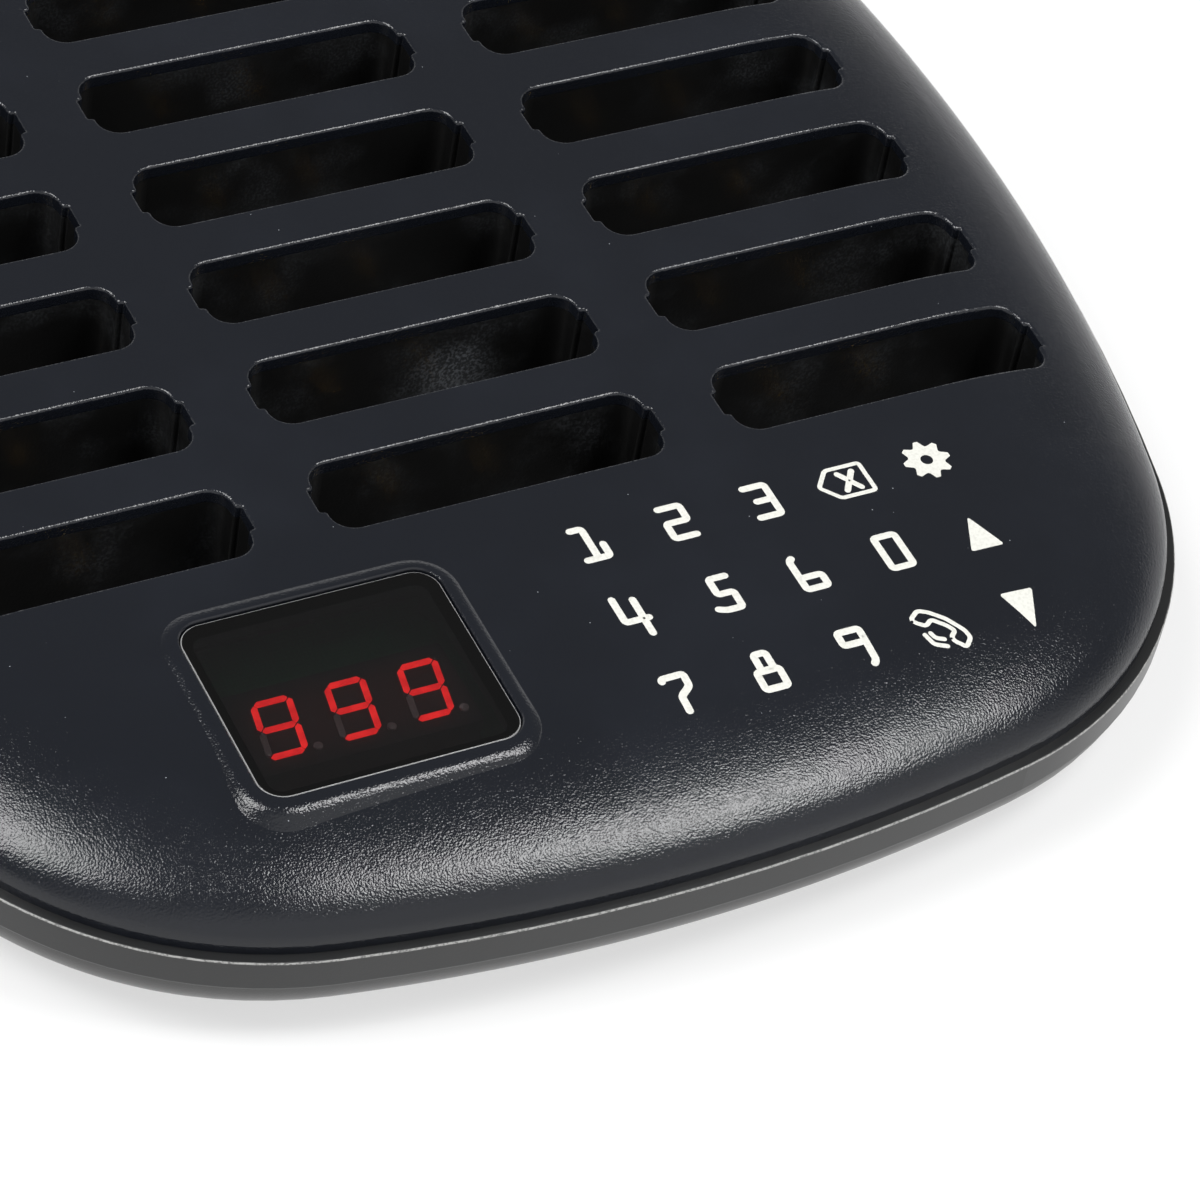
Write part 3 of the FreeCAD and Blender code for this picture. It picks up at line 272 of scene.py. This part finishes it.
def moulded_black(name, colour, depth, roughness=0.14, gloss=0.5, dusty=False):
    """black plastic with a fine etched grain, faint handling marks and stray dust"""
    finish = Finish(name, {"Specular IOR Level": gloss})
    pebbles = finish.noise(GRAIN_SIZE, detail=1.0, roughness=0.5)
    haze = finish.steps(finish.noise(HAZE_SIZE, detail=3.0, roughness=0.6), *HAZE_BAND)
    finish.relief(pebbles, depth)
    finish.set("Roughness", roughness + HAZE_DULLING * haze)
    lighter = tuple(channel * HAZE_PALENESS for channel in colour[:3]) + (1.0,)
    tone = finish.blend(haze, colour, lighter)
    if dusty:
        spot = finish.node("ShaderNodeTexVoronoi", {}, {"Vector": finish.place,
                                                        "Scale": 1.0 / DUST_SPACING})
        tone = finish.blend(1 - finish.steps(spot, *DUST_RADII), tone, DUST_COLOUR)
    finish.set("Base Color", tone)
    return finish


cover_finish = moulded_black("grained_black_cover", COVER_COLOUR, GRAIN_DEPTH, dusty=True)
cover_finish.coat_nodes("top_cover")

# Rim: a separate satin band clamped between the two covers. Its top edge has only a small round.
# A pale painted highlight, a lighter base colour broken up by grain, runs along that edge, and its side
# is nearly smooth.
RIM_COLOUR = (0.012, 0.0125, 0.013, 1.0)
RIM_EDGE_HIGHLIGHT = (0.34, 0.34, 0.33, 1.0)
RIM_GRAIN_DEPTH = 0.012 * MM
HIGHLIGHT_BELOW_TOP = (0.32 * MM, 0.22 * MM)   # no painted highlight below the first, full painted highlight above the second
HIGHLIGHT_TILTS = (0.97, 0.85)                 # a level face gets no painted highlight, a tilted one does
HIGHLIGHT_GRAIN_SIZE = 0.35 * MM
HIGHLIGHT_GRAIN_BAND = (0.34, 0.56)
LEAST_HIGHLIGHT = 0.35
RIM_ROUGHNESS = 0.30
HIGHLIGHT_DULLING = 0.25
SMUDGE_SIZE = 20 * MM
SMUDGE_DULLING = 0.05
rim_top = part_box("rim_frame")[1][2]
rim_finish = Finish("satin_rim", {"Specular IOR Level": 0.6})
rim_height = rim_finish.node("ShaderNodeSeparateXYZ", {}, {"Vector": rim_finish.place}, output="Z")
# painted highlight: a lighter base colour along the rim's rounded top edge, broken up by grain
corner_band = rim_finish.steps(rim_height, *[rim_top - below for below in HIGHLIGHT_BELOW_TOP])
corner_band = corner_band * rim_finish.steps(rim_finish.upward(), *HIGHLIGHT_TILTS)
highlight_grain = rim_finish.steps(rim_finish.noise(HIGHLIGHT_GRAIN_SIZE, detail=2.0), *HIGHLIGHT_GRAIN_BAND)
painted_edge_highlight = corner_band * (LEAST_HIGHLIGHT + (1 - LEAST_HIGHLIGHT) * highlight_grain)
rim_finish.set("Base Color", rim_finish.blend(painted_edge_highlight, RIM_COLOUR, RIM_EDGE_HIGHLIGHT))
smudges = SMUDGE_DULLING * rim_finish.noise(SMUDGE_SIZE)
rim_finish.set("Roughness", RIM_ROUGHNESS + HIGHLIGHT_DULLING * painted_edge_highlight + smudges)
rim_finish.relief(rim_finish.noise(GRAIN_SIZE), RIM_GRAIN_DEPTH)
rim_finish.coat_nodes("rim_frame")

# Bottom cover: the lower shell of the same black plastic, duller and with a shallower
# grain. The port panel closes its rear and is moulded in the same plastic.
BASE_GRAIN_DEPTH = 0.02 * MM
belly_finish = moulded_black("grained_black_base", grey(0.016), BASE_GRAIN_DEPTH, roughness=0.34,
                             gloss=0.8)
belly_finish.coat_nodes("bottom_cover", "port_panel")

# Slot trays: thin black mouldings that hang under the deck. Their wells have collected
# a little pale dust, and one well has far more of it than the others.
DUSTY_WELL = (8 * MM, -21 * MM, 13 * MM)
DUSTY_REACH = (17 * MM, 6 * MM)           # no dust beyond the first, full dust within the second
DUSTY_RAGGEDNESS = 9 * MM
RAGGED_SIZE = 8 * MM
DRIFT_SIZE = 12 * MM
DRIFT_BAND = (0.45, 0.75)
DRIFT_SHARE = 0.16
SPECK_SIZE = 0.45 * MM
SPECK_BAND = (0.42, 0.66)
LEAST_SPECK = 0.25
WELL_BLACK = 0.006
WELL_DUST = (0.20, 0.215, 0.235, 1.0)
WELL_ROUGHNESS = 0.35
DUST_DULLING = 0.4
TRAY_GRAIN_SIZE = 0.5 * MM
tray_finish = Finish("black_wells", {"Specular IOR Level": 0.4})
specks = tray_finish.steps(tray_finish.noise(SPECK_SIZE, detail=2.0), *SPECK_BAND)
from_patch = tray_finish.node("ShaderNodeVectorMath", {"operation": "DISTANCE"},
                              {0: tray_finish.place, 1: DUSTY_WELL}, output="Value")
from_patch = from_patch + DUSTY_RAGGEDNESS * tray_finish.noise(RAGGED_SIZE, detail=3.0)
patch = tray_finish.steps(from_patch, *DUSTY_REACH)
drift = DRIFT_SHARE * tray_finish.steps(tray_finish.noise(DRIFT_SIZE, detail=3.0), *DRIFT_BAND)
settled = tray_finish.node("ShaderNodeMath", {"operation": "MAXIMUM"}, {0: drift, 1: patch})
dust = settled * (LEAST_SPECK + (1 - LEAST_SPECK) * specks)
tray_finish.set("Base Color", tray_finish.blend(dust, grey(WELL_BLACK), WELL_DUST))
tray_finish.set("Roughness", WELL_ROUGHNESS + DUST_DULLING * dust)
tray_finish.relief(tray_finish.noise(TRAY_GRAIN_SIZE), 0.02 * MM)
tray_finish.coat_nodes("left_slot_tray", "middle_slot_tray", "right_slot_tray")

# Display window: a flat smoked lens, glued into its seat in the deck. Its cut edge carries a painted
# highlight, a layer of white diffuse shading, and its face carries a few faint smears.
SMOKE = (0.30, 0.285, 0.30, 1.0)
SMEARED_SMOKE = (0.26, 0.25, 0.26, 1.0)
EDGE_HIGHLIGHT_WHITE = (0.42, 0.42, 0.42, 1.0)
EDGE_HIGHLIGHT_SHARE = 0.8
LEVEL_TILTS = (0.995, 0.93)               # the lens's level face gets no painted highlight
UPRIGHT_TILTS = (0.15, 0.4)               # nor does its upright side
SMEAR_SIZE = 9 * MM
SMEAR_BAND = (0.45, 0.8)
SMEAR_STRETCH = (1.0, 2.5, 1.0)
LENS_ROUGHNESS = 0.02
SMEAR_DULLING = 0.05
lens_finish = Finish("smoked_lens", {"Transmission Weight": 1.0, "IOR": 1.49})
smear = lens_finish.noise(SMEAR_SIZE, detail=3.0, stretch=SMEAR_STRETCH)
smear = lens_finish.steps(smear, *SMEAR_BAND)
lens_finish.set("Roughness", LENS_ROUGHNESS + SMEAR_DULLING * smear)
lens_finish.set("Base Color", lens_finish.blend(smear, SMOKE, SMEARED_SMOKE))
lens_up = lens_finish.upward()
cut_edge = lens_finish.steps(lens_up, *LEVEL_TILTS) * lens_finish.steps(lens_up, *UPRIGHT_TILTS)
# painted highlight: a white diffuse layer over the lens's tilted cut edge
lens_finish.overlay(cut_edge * EDGE_HIGHLIGHT_SHARE, "ShaderNodeBsdfDiffuse", {"Color": EDGE_HIGHLIGHT_WHITE})
lens_finish.coat_nodes("display_lens")

# Display: a black module with three figures. The lit bars glow red through the lens,
# and the bars and points that are off show as dull plastic.
# painted glow: the module's black body itself emits a faint red glow around the figures, fading outward
GLOW_REACH = 7 * MM
GLOW_INSET = 3 * MM
GLOW_COLOUR = (0.075, 0.016, 0.012, 1.0)
GLOW_STRENGTH = 0.25
LIT_EDGE = (0.72, 0.010, 0.012, 1.0)
LIT_CORE = (1.0, 0.022, 0.020, 1.0)
LIT_STRENGTH = 2.3
LIT_MOTTLE_SIZE = 1.6 * MM
LIT_BAND = (0.3, 0.7)
UNLIT_MOTTLE_SIZE = 1.5 * MM
UNLIT_TONES = ((0.34, 0.28, 0.26, 1.0), (0.42, 0.35, 0.32, 1.0))
lit_low, lit_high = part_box("lit_segments")
module_finish = moulded_black("display_body", grey(0.005), 0.01 * MM, roughness=0.6)
module_finish.shader.inputs["Emission Strength"].default_value = GLOW_STRENGTH
past_figures = []
for axis, letter in enumerate("XY"):
    along = module_finish.node("ShaderNodeSeparateXYZ", {}, {"Vector": module_finish.place},
                               output=letter)
    centre = (lit_low[axis] + lit_high[axis]) / 2
    half = (lit_high[axis] - lit_low[axis]) / 2 - GLOW_INSET
    off_centre = module_finish.node("ShaderNodeMath", {"operation": "ABSOLUTE"}, {0: along - centre})
    past_figures.append(module_finish.node("ShaderNodeMath", {"operation": "MAXIMUM"},
                                           {0: off_centre - half, 1: 0.0}))
across, down = past_figures
# painted glow mask: full inside the figures' area, fading to nothing GLOW_REACH beyond it
halo = module_finish.steps((across * across + down * down) ** 0.5, GLOW_REACH, 0.0)
module_finish.set("Emission Color", module_finish.blend(halo, (0.0, 0.0, 0.0, 1.0), GLOW_COLOUR))
module_finish.coat_nodes("display_module")
lit_finish = Finish("lit_bar", {"Base Color": (0.5, 0.02, 0.02, 1.0), "Roughness": 0.5,
                                "Emission Strength": LIT_STRENGTH})
core = lit_finish.steps(lit_finish.noise(LIT_MOTTLE_SIZE, detail=1.0), *LIT_BAND)
lit_finish.set("Emission Color", lit_finish.blend(core, LIT_EDGE, LIT_CORE))
lit_finish.coat_nodes("lit_segments")
dark_finish = Finish("unlit_bar", {"Roughness": 0.5})
dark_finish.set("Base Color", dark_finish.blend(dark_finish.noise(UNLIT_MOTTLE_SIZE), *UNLIT_TONES))
dark_finish.coat_nodes("dark_segments")

# Circuit boards: green laminate with a fine weave under the solder mask.
MASK_TONES = ((0.008, 0.075, 0.030, 1.0), (0.014, 0.115, 0.046, 1.0))
WEAVE_SCALE = 420.0
board_finish = Finish("green_laminate", {"Coat Weight": 0.3, "Roughness": 0.4})
warp, weft = [board_finish.node("ShaderNodeTexWave", {"bands_direction": axis},
                                {"Vector": board_finish.place, "Scale": WEAVE_SCALE,
                                 "Distortion": 0.0}) for axis in "XY"]
cloth = warp * weft
board_finish.set("Base Color", board_finish.blend(cloth, *MASK_TONES))
board_finish.relief(cloth, 0.01 * MM)
board_finish.coat_nodes("display_board", "touch_board", "main_board", "radio_module",
                        "left_contact_board", "middle_contact_board", "right_contact_board")

# Metal: gold plated touch pads, inlet pin, and contact pins in plated barrels, a tinned
# shield over the radio, bare capacitor cans and blackened steel screws.
GOLD = (0.86, 0.62, 0.26, 1.0)
TIN = (0.70, 0.70, 0.68, 1.0)
BLACK_STEEL = (0.16, 0.16, 0.17, 1.0)
SCRATCH_DEPTH = 0.004 * MM
SCRATCH_DULLING = 0.18
SCRATCH_SHADE = 0.8


def metal(name, colour, roughness, scratch, stretch):
    """bare metal with fine scratches along one way"""
    finish = Finish(name, {"Metallic": 1.0})
    lines = finish.noise(scratch, detail=3.0, stretch=stretch)
    darker = tuple(channel * SCRATCH_SHADE for channel in colour[:3]) + (1.0,)
    finish.set("Base Color", finish.blend(lines, darker, colour))
    finish.set("Roughness", roughness + SCRATCH_DULLING * lines)
    finish.relief(lines, SCRATCH_DEPTH)
    return finish


contact_pins = [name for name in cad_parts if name.startswith("contact_pins")]
gold_finish = metal("gold_plate", GOLD, 0.18, 0.3 * MM, (1.0, 1.0, 0.2))
gold_finish.coat_nodes("touch_pads", "inlet_pin", "left_contact_barrels", "middle_contact_barrels",
                       "right_contact_barrels", *contact_pins)
tin_finish = metal("tinned_steel", TIN, 0.3, 0.5 * MM, (1.0, 0.1, 1.0))
tin_finish.coat_nodes("radio_shield", "power_capacitors")
screw_finish = metal("blackened_steel", BLACK_STEEL, 0.35, 0.4 * MM, (1.0, 1.0, 1.0))
screw_finish.coat_nodes("case_screws", "board_screws")

# Small parts inside: resin chips and buzzer, white connectors and ribbons, a clear spacer,
# sticky on both faces, between the touch pads and the deck, and sleeved wires.
NYLON_TONES = ((0.72, 0.70, 0.64, 1.0), (0.82, 0.80, 0.75, 1.0))
chip_finish = moulded_black("chip_resin", grey(0.02), 0.02 * MM, roughness=0.6)
chip_finish.coat_nodes("mcu_chip", "buzzer", "power_inductor")
white_finish = Finish("white_nylon", {"Roughness": 0.5})
white_finish.set("Base Color", white_finish.blend(white_finish.noise(3 * MM), *NYLON_TONES))
white_finish.relief(white_finish.noise(0.6 * MM), 0.01 * MM)
white_finish.coat_nodes("board_connectors", "board_ribbons", "charge_links")
clear_finish = Finish("clear_spacer", {"Transmission Weight": 0.8, "IOR": 1.47,
                                       "Base Color": grey(0.85)})
clear_finish.set("Roughness", 0.15 + 0.2 * clear_finish.noise(2 * MM))
clear_finish.coat_nodes("touch_spacer")
wire_finish = moulded_black("wire_sleeve", grey(0.012), 0.02 * MM, roughness=0.5)
wire_finish.coat_nodes("antenna_wire", "power_leads")

# Rear ports: the supply inlet and the rocker switch, in glossier black plastic.
port_finish = moulded_black("port_black", grey(0.010), 0.008 * MM, roughness=0.25)
port_finish.coat_nodes("dc_inlet", "switch_housing", "switch_rocker")

# Feet: soft black rubber pads, glued into recesses.
foot_finish = moulded_black("foot_rubber", grey(0.02), 0.05 * MM, roughness=0.75, gloss=0.25)
foot_finish.coat_nodes("rubber_feet")

# Key marks: pale ink, pad printed on the deck and the start of its rolled edge. Each
# mark is a bead of ink a few hundredths of a millimetre thick. The marks' sizes are in mm.
INK_COLOUR = (0.70, 0.70, 0.65, 1.0)
WORN_INK = (0.60, 0.60, 0.55, 1.0)
KEY_COLUMN_PITCH = 13.85
KEY_ROW_PITCH = 15.0
FIRST_KEY = (6.35, -75.2)
INK_WIDTH = 1.15
THIN_INK_WIDTH = 0.72
CROSS_INK_WIDTH = 0.95
INK_RISE = 0.045
INK_CORNER = 0.45
CORNER_CUTS = 4
BEAD_CUTS = 3
END_CUTS = (12, 8)        # round the end of a bead, then down it
INK_STEP = 0.7            # points this close follow the deck's curve
STROKES = {
    (0, 0): [("open", INK_WIDTH, [(-1.55, 3.15), (0.25, 3.15), (0.25, -2.85)]),
             ("open", INK_WIDTH, [(-1.5, -2.85), (2.05, -2.85), (2.05, -0.5)])],
    (1, 0): [("open", INK_WIDTH, [(-1.35, 3.1), (2.05, 3.1), (2.05, 0.15), (-1.4, 0.15),
                                  (-1.4, -2.9), (2.05, -2.9)])],
    (2, 0): [("open", INK_WIDTH, [(-1.45, 3.0), (2.0, 3.0), (2.0, -3.0), (-1.45, -3.0)]),
             ("open", INK_WIDTH, [(-0.5, 0.1), (2.0, 0.1)])],
    (3, 0): [("closed", THIN_INK_WIDTH, [(-4.3, -0.25), (-1.95, 2.65), (3.7, 2.65), (3.7, -3.1),
                                         (-1.95, -3.1)]),
             ("open", CROSS_INK_WIDTH, [(-0.45, 1.45), (1.9, -1.95)]),
             ("open", CROSS_INK_WIDTH, [(1.9, 1.45), (-0.45, -1.95)])],
    (0, 1): [("open", INK_WIDTH, [(-1.7, 4.1), (-1.7, -0.5), (1.95, -0.5)]),
             ("open", INK_WIDTH, [(1.2, 3.25), (1.15, -3.4)])],
    (1, 1): [("open", INK_WIDTH, [(2.05, 3.35), (-0.6, 3.35), (-0.6, 0.25), (1.9, 0.25),
                                  (1.85, -2.85), (-0.6, -2.85), (-1.75, -2.35)])],
    (2, 1): [("open", INK_WIDTH, [(-1.1, 3.25), (-1.65, 2.85), (-1.65, -2.95), (1.8, -2.95),
                                  (1.8, -0.65), (-1.65, -0.65)])],
    (3, 1): [("closed", INK_WIDTH, [(-1.6, 3.1), (1.8, 3.1), (1.8, -3.15), (-1.6, -3.15)])],
    (0, 2): [("open", INK_WIDTH, [(-1.85, 2.8), (-1.85, 3.25), (1.65, 3.3), (1.6, 1.05),
                                  (-0.25, -0.35), (-0.3, -3.0)])],
    (1, 2): [("closed", INK_WIDTH, [(-1.15, 3.25), (0.75, 3.25), (0.75, 0.3), (-1.15, 0.3)]),
             ("closed", INK_WIDTH, [(-2.1, 0.2), (1.45, 0.2), (1.45, -2.95), (-2.1, -2.95)])],
    (2, 2): [("closed", INK_WIDTH, [(-1.65, 3.2), (1.85, 3.2), (1.85, 0.85), (-1.65, 0.85)]),
             ("open", INK_WIDTH, [(1.85, 2.0), (1.8, -2.7), (1.35, -3.1)])],
    (3, 2): [("closed", THIN_INK_WIDTH, [(-3.8, 2.4), (-2.2, 3.55), (-0.8, 2.9), (1.2, 1.15),
                                         (3.0, -1.5), (3.3, -2.85), (2.0, -4.2), (0.6, -2.7),
                                         (0.6, -1.95), (1.6, -1.25), (0.85, -0.05),
                                         (-0.95, 1.55), (-2.15, 0.7), (-3.45, 1.65)]),
             ("open", THIN_INK_WIDTH, [(-2.15, -0.65), (-1.85, -1.6), (-0.65, -2.15)]),
             ("open", THIN_INK_WIDTH, [(-3.1, -0.7), (-2.55, -2.55), (-0.75, -3.35)])],
}
ARROWS = {(4, 1): [(0.0, 2.65), (-2.75, -3.7), (2.75, -3.7)],
          (4, 2): [(-2.75, 2.9), (2.75, 2.9), (0.0, -3.75)]}
ARROW_CORNER = 0.5
GEAR_KEY = (4, 0)
GEAR_TEETH = 8
GEAR_POINTS = 8 * GEAR_TEETH
GEAR_GULLET = 0.35        # wider gullets between the teeth at higher values, up to 1
GEAR_TIP = 3.75
GEAR_ROOT = 2.75
GEAR_HOLE = 0.95
DROP_HEIGHT = 10 * MM
INK_PATCH_SIZE = 0.5 * MM
INK_PATCH_BAND = (0.25, 0.6)
INK_TOOTH_SIZE = 0.4 * MM


def key_centre(key):
    column, row = key
    return Vector((FIRST_KEY[0] + column * KEY_COLUMN_PITCH, FIRST_KEY[1] - row * KEY_ROW_PITCH, 0))


def ink_stroke(ink, centre, closed, width, points):
    """a round bead of ink along a path whose corners are rounded"""
    path = bmesh.new()
    corners = [path.verts.new(centre + Vector((x, y, 0))) for x, y in points]
    for first, second in zip(corners, corners[1:]):
        path.edges.new((first, second))
    if closed:
        path.edges.new((corners[-1], corners[0]))
    turning = corners if closed else corners[1:-1]
    if turning:
        bmesh.ops.bevel(path, geom=turning, offset=INK_CORNER, segments=CORNER_CUTS, profile=0.5,
                        affect="VERTICES", material=-1)
    for edge in path.edges[:]:
        cuts = int(edge.calc_length() / INK_STEP)
        if cuts:
            bmesh.ops.subdivide_edges(path, edges=[edge], cuts=cuts)
    flat = bpy.data.meshes.new("ink_path")
    path.to_mesh(flat)
    path.free()
    holder = bpy.data.objects.new("ink_path", flat)
    bpy.context.scene.collection.objects.link(holder)
    bpy.context.view_layer.objects.active = holder
    for other in bpy.context.selected_objects:
        other.select_set(False)
    holder.select_set(True)
    bpy.ops.object.convert(target="CURVE")
    curve = bpy.context.view_layer.objects.active
    curve.data.bevel_depth = width / 2
    curve.data.bevel_resolution = BEAD_CUTS
    bead = bpy.data.meshes.new_from_object(curve)
    ink.from_mesh(bead)
    if not closed:
        for end in (points[0], points[-1]):
            made = bmesh.ops.create_uvsphere(ink, u_segments=END_CUTS[0], v_segments=END_CUTS[1],
                                             radius=width / 2)
            bmesh.ops.translate(ink, verts=made["verts"], vec=centre + Vector((*end, 0)))
    bpy.data.objects.remove(curve)


def cut_grid(shape):
    """cuts a flat shape both ways, so that it can follow the deck"""
    for axis in (1, 0):
        places = [vertex.co[axis] for vertex in shape.verts]
        normal = Vector((0, 0, 0))
        normal[axis] = 1
        for level in range(1, int((max(places) - min(places)) / INK_STEP) + 1):
            bmesh.ops.bisect_plane(shape, geom=shape.verts[:] + shape.edges[:] + shape.faces[:],
                                   plane_co=normal * (min(places) + level * INK_STEP), plane_no=normal)


def ink_area(ink, name, shape):
    """gives a flat shape the ink's thickness and adds it to the marks"""
    raised = bmesh.ops.extrude_face_region(shape, geom=shape.faces[:])
    tops = [made for made in raised["geom"] if isinstance(made, bmesh.types.BMVert)]
    bmesh.ops.translate(shape, verts=tops, vec=(0, 0, INK_RISE))
    data = bpy.data.meshes.new(name)
    shape.to_mesh(data)
    shape.free()
    ink.from_mesh(data)


ink = bmesh.new()
for key, strokes in STROKES.items():
    for form, width, points in strokes:
        ink_stroke(ink, key_centre(key), form == "closed", width, points)
for vertex in ink.verts:
    vertex.co.z *= INK_RISE / (INK_WIDTH / 2)

for key, corners in ARROWS.items():
    arrow = bmesh.new()
    arrow.faces.new([arrow.verts.new(key_centre(key) + Vector((x, y, 0))) for x, y in corners])
    bmesh.ops.bevel(arrow, geom=arrow.verts[:], offset=ARROW_CORNER, segments=CORNER_CUTS,
                    profile=0.5, affect="VERTICES", material=-1)
    cut_grid(arrow)
    ink_area(ink, "arrow", arrow)

gear = bmesh.new()
for vertex in bmesh.ops.create_circle(gear, segments=GEAR_POINTS, radius=GEAR_TIP)["verts"]:
    turn = math.atan2(vertex.co.y, vertex.co.x) * GEAR_TEETH
    notch = max(0.0, GEAR_GULLET - math.cos(turn)) / (1 + GEAR_GULLET)
    vertex.co *= 1 - (1 - GEAR_ROOT / GEAR_TIP) * math.sqrt(notch)
bmesh.ops.create_circle(gear, segments=GEAR_POINTS, radius=GEAR_HOLE)
bmesh.ops.bridge_loops(gear, edges=gear.edges[:])
bmesh.ops.translate(gear, verts=gear.verts[:], vec=key_centre(GEAR_KEY))
ink_area(ink, "gear", gear)

bmesh.ops.scale(ink, verts=ink.verts[:], vec=(MM, MM, MM))
cover_shape = bmesh.new()
cover_shape.from_mesh(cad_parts["top_cover"].data)
deck = BVHTree.FromBMesh(cover_shape)
cover_shape.free()
above = cad_bounds[1][2] + DROP_HEIGHT
for vertex in ink.verts:
    hit = deck.ray_cast(Vector((vertex.co.x, vertex.co.y, above)), Vector((0, 0, -1)))[0]
    vertex.co.z += hit.z
bmesh.ops.recalc_face_normals(ink, faces=ink.faces[:])
ink_data = bpy.data.meshes.new("key_marks")
ink.to_mesh(ink_data)
ink.free()
key_marks = bpy.data.objects.new("key_marks", ink_data)
bpy.context.scene.collection.objects.link(key_marks)
ink_finish = Finish("pale_ink", {"Roughness": 0.5, "Specular IOR Level": 0.35})
whole = ink_finish.steps(ink_finish.noise(INK_PATCH_SIZE, detail=2.0), *INK_PATCH_BAND)
ink_finish.set("Base Color", ink_finish.blend(whole, WORN_INK, INK_COLOUR))
ink_finish.relief(ink_finish.noise(INK_TOOTH_SIZE), 0.01 * MM)
ink_data.materials.append(ink_finish.material)
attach(key_marks, "base")
